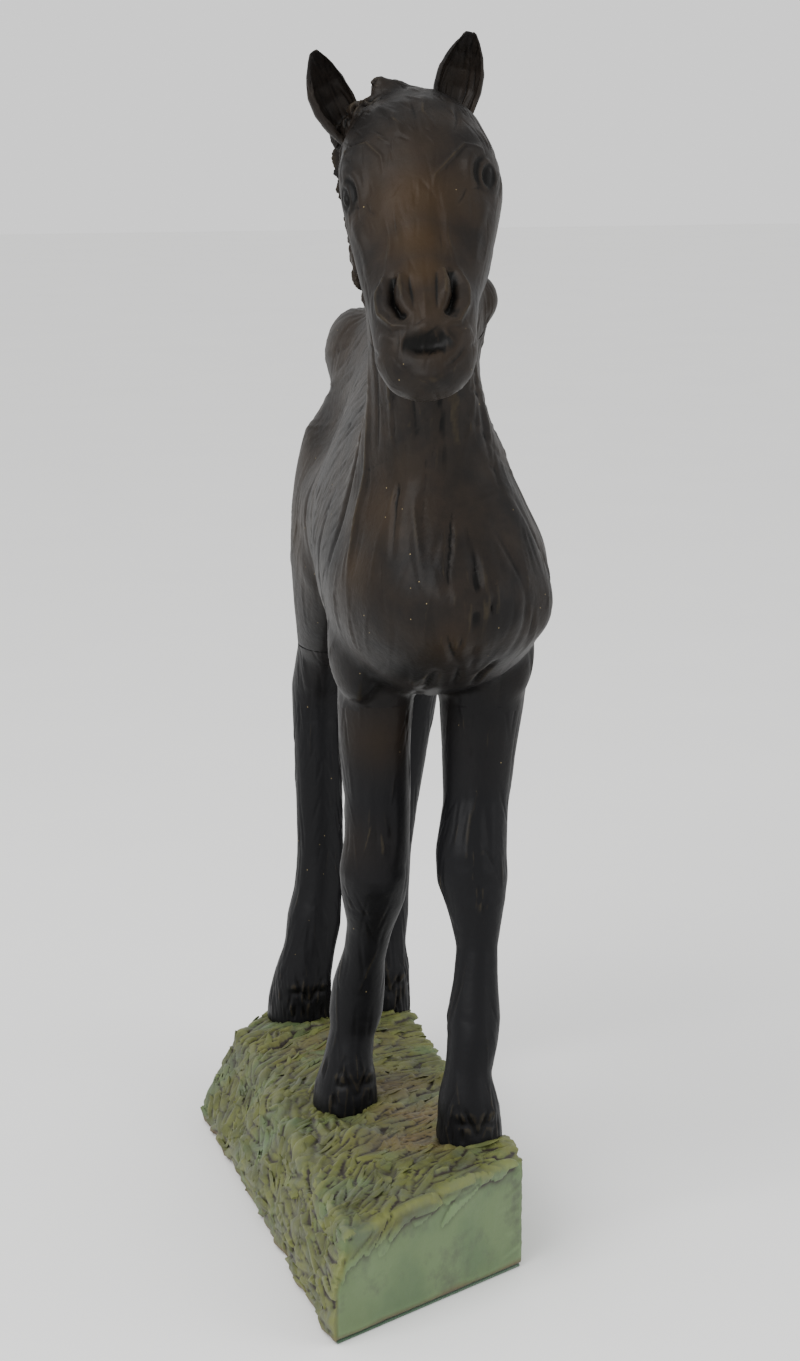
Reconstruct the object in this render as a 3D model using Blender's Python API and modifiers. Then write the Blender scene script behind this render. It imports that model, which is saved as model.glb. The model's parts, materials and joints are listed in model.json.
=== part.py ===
"""Bronze foal on a turf-modelled bronze plinth, in metres, +Z up, facing -Y.

The foal is hollow-cast in sections (torso, neck, head, ears, tail, four legs) that meet at
spigot or collar joints. Studs in the hooves pass through the top of a hollow cast plinth and
are held by washers and nuts beneath it. A plywood board screwed to lugs closes the plinth and
a cloth pad covers the board.
"""

import math

import bmesh
import bpy
import numpy as np
from mathutils import Vector

# ---- driving dimensions -------------------------------------------------------------------
WITHERS_Z = 0.417  # top of the withers above the table
BODY_SCALE = 1.0  # fullness of the barrel, 1 is as modelled
LEG_SCALE = 1.0  # thickness of the four legs, 1 is as modelled
PLINTH_FRONT_Z = 0.050  # plinth height under the near forefoot
PLINTH_BACK_Z = 0.038  # plinth height under the hind feet
PLINTH_WIDTH = 0.100  # at the oblique front face
TURF_AHEAD = 0.1021  # from the near forefoot's middle forward to the turf side's near corner
TURF_BEHIND = 0.0406  # from the turf side's far corner back to the hind feet's middle
PLINTH_SKEW = 0.066  # how far the front face runs back from one side to the other

WALL = 0.0045  # bronze wall of foal and plinth
GAP = 0.0003  # between pieces that touch
FELT_T = 0.0012
BOARD_T = 0.0040
STUD_R = 0.0025
STUD_IN_HOOF = 0.013
SPIGOT_LENGTH = 0.009
PLUG_R = 0.0040

FOAL_AHEAD = 0.030  # the foal's own origin lies this far ahead of the plinth's middle
FORE_HOOF_Y, HIND_HOOF_Y = -0.044, 0.188  # from the foal's own origin
DRAWN_GROUND, DRAWN_WITHERS = 0.044, 0.417  # heights in the stations below
GROUND_Z = (PLINTH_FRONT_Z + PLINTH_BACK_Z) / 2
HEIGHT_K = (WITHERS_Z - GROUND_Z) / (DRAWN_WITHERS - DRAWN_GROUND)

bpy.ops.object.select_all(action="DESELECT")
for old in list(bpy.data.objects):
    bpy.data.objects.remove(old, do_unlink=True)
scene_root = bpy.context.scene.collection
MODEL = bpy.data.collections.new("bronze_foal_statuette")
scene_root.children.link(MODEL)
TOOLS = bpy.data.collections.new("cutters")
TOOLS.hide_render = True
scene_root.children.link(TOOLS)


def material(name, rgb, roughness, metallic):
    mat = bpy.data.materials.new(name)
    mat.use_nodes = True
    shader = mat.node_tree.nodes["Principled BSDF"]
    shader.inputs["Base Color"].default_value = (*rgb, 1.0)
    shader.inputs["Roughness"].default_value = roughness
    shader.inputs["Metallic"].default_value = metallic
    mat.diffuse_color = (*rgb, 1.0)
    return mat


DARK_BRONZE = ("bronze_dark_patina", (0.045, 0.034, 0.026), 0.45, 0.8)
GREEN_BRONZE = ("bronze_green_patina", (0.18, 0.22, 0.08), 0.65, 0.3)
ZINC = ("zinc_steel", (0.45, 0.45, 0.43), 0.35, 1.0)
PLYWOOD = ("birch_plywood", (0.50, 0.34, 0.18), 0.6, 0.0)
BAIZE = ("green_baize", (0.03, 0.09, 0.04), 0.95, 0.0)


def to_tools(obj):
    """Puts an object among the cutters. finish() takes out those that become pieces."""
    for old in list(obj.users_collection):
        old.objects.unlink(obj)
    TOOLS.objects.link(obj)
    obj.hide_render = True
    obj.display_type = "WIRE"
    return obj


def mesh_object(name, vertices, faces):
    data = bpy.data.meshes.new(name)
    data.from_pydata([tuple(v) for v in vertices], [], faces)
    outward = bmesh.new()
    outward.from_mesh(data)
    bmesh.ops.recalc_face_normals(outward, faces=outward.faces)
    outward.to_mesh(data)
    outward.free()
    return to_tools(bpy.data.objects.new(name, data))


def skin(name, rings, end_faces=None):
    """A closed body through rings of equal point count. The ends are fans unless given as faces.

    Its sides are triangles, so that a piece and the cutter made from its rings split alike.
    """
    rings = np.asarray(rings)
    count, n, _ = rings.shape
    vertices = list(rings.reshape(-1, 3))
    faces = []
    for i in range(count - 1):
        for j in range(n):
            k = (j + 1) % n
            faces.append((i * n + j, i * n + k, (i + 1) * n + k))
            faces.append((i * n + j, (i + 1) * n + k, (i + 1) * n + j))
    if end_faces:
        last = (count - 1) * n
        faces += [tuple(reversed(face)) for face in end_faces]
        faces += [tuple(last + i for i in face) for face in end_faces]
    else:
        vertices += [rings[0].mean(axis=0), rings[-1].mean(axis=0)]
        first, last = count * n, count * n + 1
        for j in range(n):
            k = (j + 1) % n
            faces.append((first, k, j))
            faces.append((last, (count - 1) * n + j, (count - 1) * n + k))
    return mesh_object(name, vertices, faces)


def path_frames(centres, side):
    """Side and up vectors square to a path at each of its points."""
    centres = np.asarray(centres)
    ahead = np.gradient(centres, axis=0)
    ahead /= np.linalg.norm(ahead, axis=1)[:, None]
    across = side - (ahead @ side)[:, None] * ahead
    across /= np.linalg.norm(across, axis=1)[:, None]
    return across, np.cross(ahead, across)


def rings_along(rows, points, side=(1, 0, 0), squareness=2.2):
    """Rings at stations of x, y, z, half width, upper radius, lower radius, upper squareness."""
    centres = rows[:, :3]
    across, up = path_frames(centres, np.asarray(side, float))
    turn = np.arange(points) * 2 * np.pi / points
    c, s = np.cos(turn), np.sin(turn)
    rings = []
    for centre, a, u, (half, top, low, upper) in zip(centres, across, up, rows[:, 3:7]):
        power = 2 / np.where(s >= 0, upper, squareness)
        out = half * np.sign(c) * np.abs(c) ** power
        rise = np.where(s >= 0, top, low) * np.sign(s) * np.abs(s) ** power
        rings.append(centre + out[:, None] * a + rise[:, None] * u)
    return np.array(rings)


def inset(rings, depth):
    """The same rings pulled in by a wall thickness."""
    rings = np.asarray(rings)
    middle = rings.mean(axis=1, keepdims=True)
    out = rings - middle
    size = np.linalg.norm(out, axis=2, keepdims=True)
    return middle + out * np.maximum(size - depth, size * 0.25) / size


def cylinder(name, start, end, radius, sides=20):
    start, end = Vector(start), Vector(end)
    bpy.ops.mesh.primitive_cylinder_add(
        vertices=sides, radius=radius, depth=(end - start).length, location=(start + end) / 2
    )
    obj = bpy.context.object
    obj.name = name
    obj.rotation_mode = "QUATERNION"
    obj.rotation_quaternion = (end - start).to_track_quat("Z", "Y")
    bpy.ops.object.transform_apply(location=True, rotation=True, scale=True)
    return to_tools(obj)


def boolean(target, other, operation, solver="EXACT"):
    mod = target.modifiers.new(operation.lower(), "BOOLEAN")
    mod.operation = operation
    mod.solver = solver
    mod.object = other
    bpy.context.view_layer.objects.active = target
    bpy.ops.object.modifier_apply(modifier=mod.name)
    return target


LOFT_SOLVER = "MANIFOLD"  # EXACT leaves open edges where these lofted forms cross


def join(target, *others):
    for other in others:
        boolean(target, other, "UNION", LOFT_SOLVER)
    return target


def cut(target, *others):
    for other in others:
        boolean(target, other, "DIFFERENCE", LOFT_SOLVER)
    return target


def finish(obj, look, angle=35):
    name, rgb, roughness, metallic = look
    mat = bpy.data.materials.get(name) or material(name, rgb, roughness, metallic)
    obj.data.materials.clear()
    obj.data.materials.append(mat)
    for polygon in obj.data.polygons:
        polygon.material_index = 0
    obj.data.shade_smooth()
    obj.data.set_sharp_from_angle(angle=math.radians(angle))
    for old in list(obj.users_collection):
        old.objects.unlink(obj)
    MODEL.objects.link(obj)
    obj.hide_render = False
    obj.display_type = "TEXTURED"
    return obj


def foal(stations, thick=1.0):
    """Stations drawn in millimetres from the foal's own origin, brought to the plinth."""
    rows = np.asarray(stations, float) / 1000
    if rows.shape[1] == 6:
        rows = np.column_stack([rows, np.full(len(rows), 2.0 / 1000)])
    rows[:, 6] *= 1000
    rows[:, 2] = GROUND_Z + (rows[:, 2] - DRAWN_GROUND) * HEIGHT_K
    rows[:, 1] -= FOAL_AHEAD
    rows[:, 3:6] *= thick
    return rows


# ---- the plinth's form ---------------------------------------------------------------------
LEFT_X, RIGHT_X = -PLINTH_WIDTH / 2, PLINTH_WIDTH / 2
FRONT_Y = FORE_HOOF_Y - FOAL_AHEAD - TURF_AHEAD  # the near corner, at the turf side
SPREAD = 0.016  # the back is this much wider than the front
KINK_IN = 0.058  # from the turf side to where the back edge stops running back
BACK_RUN = 0.068  # how far the back edge runs back up to there
KERB_FRONT_Z = 0.023  # height of the turf side's upright at the front
BANK_FRONT, BANK_BACK = -0.44, -0.26  # the bank's top edge, as shares of the width
BANK_DROP = 0.004  # from the middle of the top to the bank's edge
SHOULDERS = (0.0, 0.25, 0.5, 0.75, 1.0)  # shares of the length where sections are drawn
BASE_Z = FELT_T + GAP


def lerp(a, b, t):
    return a + (b - a) * t


def front_y(x):
    return FRONT_Y + PLINTH_SKEW * (x - LEFT_X) / PLINTH_WIDTH


def back_y(x):
    back = HIND_HOOF_Y - FOAL_AHEAD - TURF_BEHIND
    return back + BACK_RUN * min((x - LEFT_X) / KINK_IN, 1.0)


def plinth_section(share, shrink=0.0, floor_z=BASE_Z):
    """One section of the block: turf side, bank, top, cut side. Shrink gives the cavity's."""
    right = RIGHT_X + SPREAD * share**2 - shrink
    left = LEFT_X + shrink
    kerb = lerp(KERB_FRONT_Z, BASE_Z + BOARD_T + WALL + 2 * GAP, share) - shrink
    bank_x = lerp(BANK_FRONT, BANK_BACK, share) * PLINTH_WIDTH + shrink * 0.7
    top = lerp(PLINTH_FRONT_Z, PLINTH_BACK_Z, share) - shrink
    outline = [
        (left, floor_z),
        (left, kerb),
        (bank_x, top - BANK_DROP),
        (LEFT_X + KINK_IN, top),
        (right, top),
        (right, floor_z),
        (LEFT_X + KINK_IN, floor_z),
    ]
    points = []
    for x, z in outline:
        ahead, behind = front_y(x) + shrink, back_y(x) - shrink
        points.append((x, lerp(ahead, behind, share), z))
    return np.array(points)


def top_z(x, y):
    share = (y - front_y(x)) / (back_y(x) - front_y(x))
    return lerp(PLINTH_FRONT_Z, PLINTH_BACK_Z, share)


# ---- the foal's forms ---------------------------------------------------------------------
# Barrel from buttock to breast: x, y, z of the widest line, half width, rise to the topline,
# drop to the belly.
BARREL = foal(
    [
        (45, 214, 346, 10, 16, 16, 1.8),
        (44, 206, 338, 22, 42, 32, 1.6),
        (43, 192, 328, 32, 69, 44, 1.4),
        (41, 170, 322, 39, 87, 48, 1.3),
        (39, 145, 320, 41.5, 92, 52, 1.25),
        (36, 112, 318, 42, 91, 58, 1.3),
        (33, 75, 314, 44, 92, 62, 1.35),
        (30, 38, 310, 46.5, 98, 64, 1.3),
        (27, 5, 308, 48, 109, 63, 1.2),
        (25, -22, 304, 49, 104, 57, 1.15),
        (24, -46, 302, 47, 92, 46, 1.2),
        (23, -66, 303, 40, 70, 34, 1.4),
        (22, -80, 306, 28, 42, 23, 1.7),
        (21, -88, 311, 12, 16, 12, 2.0),
    ],
    BODY_SCALE,
)
BARREL[:, 4:6] *= HEIGHT_K  # rise and drop are heights, so they follow the withers and the ground
# Neck from inside the chest to inside the head: upper radius is the crest, lower the throat.
NECK = foal(
    [
        (24, -12, 330, 40, 34, 52),
        (23, -22, 356, 34, 34, 46),
        (21, -30, 379, 29.5, 34, 40),
        (20, -33, 388, 28, 34, 38),
        (17, -40, 412, 26.5, 34, 33),
        (12, -47, 436, 25, 33, 30),
        (5, -53, 458, 22.5, 32, 28),
        (2, -55, 466, 22, 31, 27),
        (-2, -60, 482, 21, 27, 24),
        (-5, -65, 496, 17, 19, 18),
    ]
)
# Head from behind the poll to the lips: upper radius is the face, lower the jaw.
HEAD = foal(
    [
        (3, -54, 505, 12, 8, 9),
        (2.5, -59, 503, 22, 15, 20),
        (1.5, -69, 495, 29, 21, 32),
        (1, -80, 484, 32.5, 23, 38),
        (0.5, -91, 473, 33.5, 22, 38),
        (-2.5, -103, 460, 30.5, 19.5, 33),
        (-5.5, -115, 446, 27, 18, 26),
        (-8.5, -127, 433, 23, 17, 21),
        (-10.5, -138, 421, 21, 17, 18),
        (-12, -148, 411, 20.5, 16, 15.5),
        (-12.3, -155, 404, 17, 13, 12),
        (-12.5, -160, 399, 9, 7, 6),
    ]
)
HEAD_SIDE = (0.953, -0.273, 0.130)
# Legs from inside the body to the sole: half width, front radius, back radius.
LEG_FRONT_LEFT = foal(
    [
        (47, -30, 322, 19, 34, 30),
        (51, -14, 292, 21, 34, 33),
        (52, -4, 262, 20.5, 27, 30),
        (51, -4, 240, 19, 22, 25),
        (49, -7, 220, 17, 18.5, 20),
        (46, -13, 196, 15, 15.5, 16),
        (42, -20, 176, 16.5, 16.5, 15.5),
        (41.7, -24, 164, 16.5, 16, 15.5),
        (42.3, -28, 152, 13, 13, 14),
        (41.8, -32, 135, 9.5, 10, 11.5),
        (40, -36, 119, 10.5, 10.5, 12.5),
        (38.5, -39, 104, 12.3, 12.5, 15.5),
        (37, -43, 94, 11.5, 12, 14),
        (34, -46, 81, 10.6, 11, 12),
        (33.6, -47, 70, 13.5, 14.5, 14),
        (34.8, -45, 58, 14.6, 18, 15),
        (35.4, -44, 50.5, 15, 20, 16),
    ],
    LEG_SCALE,
)
LEG_FRONT_RIGHT = foal(
    [
        (3, -24, 318, 20, 34, 30),
        (3, -6, 290, 20, 32, 32),
        (5, 6, 262, 17.5, 25, 29),
        (4.6, 9, 240, 17, 21, 24),
        (4.4, 9, 220, 16.3, 18, 20),
        (5.4, 8, 196, 15.2, 16, 16.5),
        (4.6, 6, 177, 15.2, 16.5, 15.5),
        (2.7, 4, 163, 16.3, 16, 15.5),
        (3.4, 8, 150, 15, 13.5, 14),
        (3, 14, 134, 10.8, 10.5, 12),
        (1.6, 19, 119, 10, 10, 12),
        (0.3, 24, 104, 12.4, 12, 15),
        (-0.8, 26, 90, 12.8, 12.5, 14),
        (-2.7, 26, 80, 10.6, 11, 12),
        (-4.8, 25, 68, 11.5, 14, 14),
        (-5.9, 26, 54, 15, 18, 15),
        (-6, 29, 46.5, 15.4, 21, 17),
    ],
    LEG_SCALE,
)
LEG_HIND_LEFT = foal(
    [
        (58, 150, 345, 22, 34, 34),
        (64, 158, 312, 22, 40, 36),
        (67, 164, 282, 20, 36, 32),
        (69, 174, 256, 15, 25, 24),
        (70, 186, 232, 12.5, 17, 18),
        (70, 196, 210, 13.5, 15, 19),
        (68, 198, 194, 13, 14.5, 16),
        (65, 197, 172, 11.8, 13, 12.5),
        (61, 195, 148, 11, 12, 12),
        (57, 193, 124, 11, 11.5, 12),
        (54, 191, 102, 12.2, 13.5, 15.5),
        (52.5, 189, 90, 13, 13.5, 14.5),
        (51.5, 186, 76, 11.6, 12.5, 12),
        (50.8, 184, 64, 13.5, 15.5, 14),
        (50.4, 186, 50, 15, 18, 15),
        (50.2, 188, 38.5, 15.4, 20, 16),
    ],
    LEG_SCALE,
)
LEG_HIND_RIGHT = foal(
    [
        (22, 148, 345, 22, 34, 34),
        (17, 156, 312, 18, 40, 36),
        (13, 162, 280, 14, 36, 32),
        (15.5, 174, 256, 12.6, 25, 24),
        (19.8, 188, 232, 12, 17, 18),
        (20, 197, 210, 13.8, 15, 19),
        (19.7, 197, 194, 13.2, 14.5, 16),
        (18.8, 192, 172, 12.4, 13, 12.5),
        (18.2, 188, 148, 12.2, 12, 12),
        (18, 185, 124, 12.2, 11.5, 12),
        (16, 183, 106, 12.6, 13, 15),
        (13.5, 181, 92, 14.2, 14, 14.5),
        (10.4, 178, 78, 13.4, 13, 12.5),
        (6.8, 178, 64, 14.8, 16, 14),
        (6.2, 183, 50, 16.6, 19, 16),
        (6.6, 187, 38.5, 17.4, 22, 18),
    ],
    LEG_SCALE,
)
HOOF_SINK = 0.0022  # depth of the seat cut for each hoof
SOLE_Z = {}
LEGS = {
    "front_left": (LEG_FRONT_LEFT, 3),
    "front_right": (LEG_FRONT_RIGHT, 3),
    "hind_left": (LEG_HIND_LEFT, 4),
    "hind_right": (LEG_HIND_RIGHT, 4),
}
for name, (rows, _) in LEGS.items():
    SOLE_Z[name] = top_z(rows[-1, 0], rows[-1, 1]) - HOOF_SINK
    rows[-1, 2] = min(rows[-1, 2], SOLE_Z[name]) - 0.004
TAIL = foal(
    [
        (43.5, 194, 384, 7, 7, 7),
        (44, 203, 379, 7.5, 7, 6.5),
        (44.5, 211, 370, 8.5, 6.5, 6),
        (45, 218, 354, 10, 6.5, 6),
        (45.2, 221, 330, 11, 7, 6.5),
        (45, 221, 304, 11.5, 7, 6.5),
        (44.4, 219, 278, 9.5, 6, 5.5),
        (43.8, 217, 256, 4.5, 3, 3),
    ]
)
EAR_LEFT = foal(
    [
        (17, -62, 500, 6.5, 5.0, 5.0),
        (19, -64, 508, 8.2, 5.5, 5.2),
        (21, -66, 516, 8.4, 5.0, 4.8),
        (23, -68, 524, 6.8, 3.8, 3.8),
        (24.5, -70, 531, 3.8, 2.4, 2.4),
        (25.2, -71, 535, 1.2, 1.0, 1.0),
    ]
)
EAR_RIGHT = foal(
    [
        (-22, -52, 494, 6.5, 5.0, 5.0),
        (-26, -54, 502, 8.2, 5.5, 5.2),
        (-30, -57, 510, 8.2, 5.0, 4.8),
        (-34, -60, 518, 6.6, 3.8, 3.8),
        (-37, -63, 525, 3.8, 2.4, 2.4),
        (-38.5, -65, 529, 1.2, 1.0, 1.0),
    ]
)

BODY_POINTS, LIMB_POINTS, EAR_POINTS = 24, 16, 12
NECK_JOINT, THROAT_JOINT = 4, 7  # rings of the neck where the castings meet

barrel_rings = rings_along(BARREL, BODY_POINTS)
neck_rings = rings_along(NECK, BODY_POINTS, squareness=2.0)
head_rings = rings_along(HEAD, BODY_POINTS, side=HEAD_SIDE)


def nudged(rings, index, distance):
    """One ring moved along its path, to leave a gap at a joint."""
    moved = np.array(rings[index])
    ahead = rings[index + 1].mean(axis=0) - rings[index].mean(axis=0)
    return moved + ahead / np.linalg.norm(ahead) * distance


# ---- torso --------------------------------------------------------------------------------
torso = skin("torso", barrel_rings)
join(torso, skin("torso_neck_stump", neck_rings[: NECK_JOINT + 1]))
limb_rings = {name: rings_along(rows, LIMB_POINTS, squareness=2.0) for name, (rows, _) in LEGS.items()}
for name, (_, joint) in LEGS.items():
    join(torso, skin(f"torso_{name}_stump", limb_rings[name][: joint + 1]))
cut(torso, skin("torso_cavity", inset(barrel_rings[1:-1], WALL)))
neck_cavity = skin("neck_cavity", inset(neck_rings, WALL))
cut(torso, neck_cavity)

# ---- neck ---------------------------------------------------------------------------------
COLLAR_DEPTH = 0.005


def collar(rings, joint, depth, length):
    """Rings of a short collar that reaches back from a joint."""
    ring = inset(rings[joint : joint + 1], depth)[0]
    back = nudged(rings, joint, 0) - nudged(rings, joint, length)
    return [ring + back, ring + (nudged(rings, joint, length) - rings[joint]) * 0.4]


cut(torso, skin("neck_socket", collar(neck_rings, NECK_JOINT, WALL / 2, COLLAR_DEPTH)))
neck_start = nudged(neck_rings, NECK_JOINT, GAP)
neck = skin("neck", [neck_start, *neck_rings[NECK_JOINT + 1 : THROAT_JOINT + 1]])
join(neck, skin("neck_collar", collar(neck_rings, NECK_JOINT, WALL / 2 + 3 * GAP, COLLAR_DEPTH - GAP)))
cut(neck, neck_cavity)
cut(neck, skin("head_socket", collar(neck_rings, THROAT_JOINT, WALL / 2, COLLAR_DEPTH)))

# ---- head and ears ------------------------------------------------------------------------
head = skin("head", head_rings)
head_start = nudged(neck_rings, THROAT_JOINT, GAP)
neck_end = [*inset(neck_rings[NECK_JOINT:THROAT_JOINT], -3 * GAP), inset(head_start[None], -3 * GAP)[0]]
cut(head, skin("neck_end", neck_end))
join(head, skin("head_stump", [head_start, *neck_rings[THROAT_JOINT + 1 :]]))
join(head, skin("head_collar", collar(neck_rings, THROAT_JOINT, WALL / 2 + 3 * GAP, COLLAR_DEPTH - GAP)))
cut(head, neck_cavity, skin("skull_cavity", inset(head_rings[1:-4], WALL)))

EAR_PEG_R, EAR_PEG_LENGTH, EAR_WALL = 0.0028, 0.004, 0.0014
HOLLOW_AHEAD = 0.0035


def ear(name, stations, lean):
    rings = rings_along(stations, EAR_POINTS, side=lean, squareness=2.0)
    root = rings[0].mean(axis=0)
    rise = rings[1].mean(axis=0) - root
    rise /= np.linalg.norm(rise)
    made = skin(name, rings)
    hollow = inset(rings[1:-1], EAR_WALL) + np.array([0, -HOLLOW_AHEAD, 0])
    hollow[:, :, 2] += 0.002
    cut(made, skin(name + "_hollow", hollow))
    join(made, cylinder(name + "_peg", root - rise * EAR_PEG_LENGTH, root + rise * 0.002, EAR_PEG_R))
    hole_end = root - rise * (EAR_PEG_LENGTH + GAP)
    hole = cylinder(name + "_hole", hole_end, root + rise * 0.02, EAR_PEG_R + GAP)
    seat = skin(name + "_seat", [ring - rise * GAP for ring in inset(rings, -GAP)])
    return made, hole, seat


ears = {
    "left": ear("ear_left", EAR_LEFT, (0.94, -0.25, -0.2)),
    "right": ear("ear_right", EAR_RIGHT, (0.80, -0.25, 0.5)),
}
for made, hole, seat in ears.values():
    cut(head, seat, hole)

# ---- legs ---------------------------------------------------------------------------------
def slab(name, z_low, z_high):
    bpy.ops.mesh.primitive_cube_add(size=1, location=(0, 0, (z_low + z_high) / 2))
    obj = bpy.context.object
    obj.name = name
    obj.dimensions = (0.6, 0.8, z_high - z_low)
    bpy.ops.object.transform_apply(location=True, rotation=True, scale=True)
    return to_tools(obj)


feet = {}
legs = {}
for name, (_, joint) in LEGS.items():
    rings = limb_rings[name]
    start = nudged(rings, joint, GAP)
    leg = skin("leg_" + name, [start, *rings[joint + 1 :]])
    top = rings[joint].mean(axis=0)
    ahead = rings[joint + 1].mean(axis=0) - top
    ahead /= np.linalg.norm(ahead)
    spigot_r = np.linalg.norm(rings[joint] - top, axis=1).min() * 0.5
    spigot = cylinder(name + "_spigot", top - ahead * SPIGOT_LENGTH, top + ahead * 0.004, spigot_r)
    join(leg, spigot)
    socket_end = top - ahead * (SPIGOT_LENGTH + GAP)
    cut(torso, cylinder(name + "_socket", socket_end, top + ahead * 0.004, spigot_r + GAP))
    foot = Vector((LEGS[name][0][-1, 0], LEGS[name][0][-1, 1], SOLE_Z[name]))
    cut(leg, slab(name + "_ground", foot.z - 0.03, foot.z))
    feet[name] = foot
    hole_top = foot + Vector((0, 0, STUD_IN_HOOF + GAP))
    cut(leg, cylinder(name + "_stud_hole", foot - Vector((0, 0, 0.01)), hole_top, STUD_R + GAP))
    legs[name] = leg

# ---- tail ---------------------------------------------------------------------------------
TAIL_JOINT, TAIL_PEG_R, TAIL_PEG_LENGTH = 1, 0.0030, 0.010
tail_rings = rings_along(TAIL, LIMB_POINTS, squareness=2.0)
tail = skin("tail", tail_rings[TAIL_JOINT:])
dock = tail_rings[TAIL_JOINT].mean(axis=0)
inward = tail_rings[TAIL_JOINT - 1].mean(axis=0) - dock
inward /= np.linalg.norm(inward)
join(tail, cylinder("tail_peg", dock + inward * TAIL_PEG_LENGTH, dock - inward * 0.003, TAIL_PEG_R))
seat_rings = inset(tail_rings[TAIL_JOINT:], -2 * GAP)
cut(torso, skin("tail_seat", [seat_rings[0] + inward * GAP, *seat_rings[1:]]))
peg_end = dock + inward * (TAIL_PEG_LENGTH + GAP)
cut(torso, cylinder("tail_hole", peg_end, dock - inward * 0.003, TAIL_PEG_R + GAP))

# ---- core plugs ---------------------------------------------------------------------------
PLUG_T = 0.0040
PLUG_PLACES = ((0.0345, 0.070), (0.0285, 0.010))  # behind and ahead on the belly's middle line
plugs = []
for number, (x, y) in enumerate(PLUG_PLACES):
    hits = torso.ray_cast(Vector((x, y, 0.10)), Vector((0, 0, 1)))
    skin_z = hits[1].z
    inner, outer = Vector((x, y, skin_z + PLUG_T)), Vector((x, y, skin_z + GAP))
    past = Vector((0, 0, 0.01))
    cut(torso, cylinder(f"plug_hole_{number}", inner + past, outer - past, PLUG_R + GAP))
    plugs.append(cylinder(f"core_plug_{number + 1}", inner, outer, PLUG_R))

# ---- plinth shell -------------------------------------------------------------------------
END_FACES = [(0, 1, 2, 3, 6), (3, 4, 5, 6)]  # the back end is two flats that meet at points 3 and 6
plinth = skin("plinth_shell", [plinth_section(t) for t in SHOULDERS], END_FACES)
cavity_rings = [plinth_section(t, WALL, BASE_Z - 0.01) for t in SHOULDERS]
cut(plinth, skin("plinth_cavity", cavity_rings, END_FACES))
BOSS_R, BOSS_DROP = 0.0075, 0.0030
boss_z = {}
for name, foot in feet.items():
    under = top_z(foot.x, foot.y) - WALL - BOSS_DROP
    boss_z[name] = under
    boss = cylinder(name + "_boss", (foot.x, foot.y, under), (foot.x, foot.y, foot.z - 0.002), BOSS_R)
    join(plinth, boss)
BOARD_TOP = BASE_Z + BOARD_T
LUG_R, LUG_HEIGHT = 0.0055, 0.0100
LUG_INSET = WALL + LUG_R - 0.0015  # a lug runs 1.5 mm into the wall beside it
LUG_FROM_END = 0.022
front_right = (RIGHT_X - LUG_INSET, front_y(RIGHT_X) + LUG_FROM_END)
front_left = (LEFT_X + LUG_INSET, front_y(LEFT_X) + LUG_FROM_END)
back_right = (RIGHT_X + SPREAD * 0.86 - LUG_INSET, back_y(RIGHT_X) - LUG_FROM_END)
back_left = (LEFT_X + LUG_INSET + 0.006, back_y(LEFT_X) - 0.006)  # in the oblique back corner
lugs = {"a": front_left, "b": front_right, "c": back_right, "d": back_left}
SCREW_R, SCREW_HEAD_R, SCREW_LENGTH = 0.0014, 0.0030, 0.0110
for name, (x, y) in lugs.items():
    low = BOARD_TOP + GAP
    join(plinth, cylinder("lug_" + name, (x, y, low), (x, y, low + LUG_HEIGHT), LUG_R))
    hole_end = BASE_Z + SCREW_LENGTH + 0.0006
    cut(plinth, cylinder("lug_hole_" + name, (x, y, low - 0.01), (x, y, hole_end), SCREW_R + GAP))
for name, foot in feet.items():
    seat = skin(name + "_seat", inset(limb_rings[name][-5:], -2 * GAP))
    cut(seat, slab(name + "_seat_floor", foot.z - GAP - 0.03, foot.z - GAP))
    cut(plinth, seat)
    hole = cylinder(name + "_bolt_hole", (foot.x, foot.y, 0.01), foot + Vector((0, 0, 0.01)), STUD_R + GAP)
    cut(plinth, hole)


def turned(name, profile, x, y, steps=20):
    """A round piece from a half outline of radius and height, turned by a Screw modifier."""
    data = bpy.data.meshes.new(name)
    data.from_pydata([(r, 0, h) for r, h in profile], [(i, i + 1) for i in range(len(profile) - 1)], [])
    obj = to_tools(bpy.data.objects.new(name, data))
    obj.location = (x, y, 0)
    mod = obj.modifiers.new("turn", "SCREW")
    mod.steps = mod.render_steps = steps
    mod.use_merge_vertices = True
    mod.merge_threshold = 0.00001
    bpy.context.view_layer.objects.active = obj
    bpy.ops.object.modifier_apply(modifier=mod.name)
    obj.select_set(True)
    bpy.ops.object.transform_apply(location=True, rotation=True, scale=True)
    obj.select_set(False)
    return obj


# ---- fixings under the hooves -------------------------------------------------------------
WASHER_R, WASHER_T = 0.0055, 0.0010
NUT_R, NUT_T = 0.0046, 0.0040
fixings = []
for name, foot in feet.items():
    washer_z = boss_z[name] - GAP - WASHER_T
    nut_z = washer_z - GAP - NUT_T
    stud_low = nut_z - 0.0025
    stud_high = foot.z + STUD_IN_HOOF
    x, y = foot.x, foot.y
    bevel = 0.0005
    outline = ((0, stud_high), (STUD_R - bevel, stud_high), (STUD_R, stud_high - bevel))
    outline += ((STUD_R, stud_low + bevel), (STUD_R - bevel, stud_low), (0, stud_low))
    fixings.append(turned("hoof_stud_" + name, outline, x, y))
    bore = cylinder(name + "_bore", (x, y, nut_z - 0.01), (x, y, boss_z[name] + 0.01), STUD_R + GAP)
    washer = cylinder("hoof_washer_" + name, (x, y, washer_z), (x, y, washer_z + WASHER_T), WASHER_R)
    fixings.append(cut(washer, bore))
    nut = cylinder("hoof_nut_" + name, (x, y, nut_z), (x, y, nut_z + NUT_T), NUT_R, sides=6)
    fixings.append(cut(nut, bore))

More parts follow.
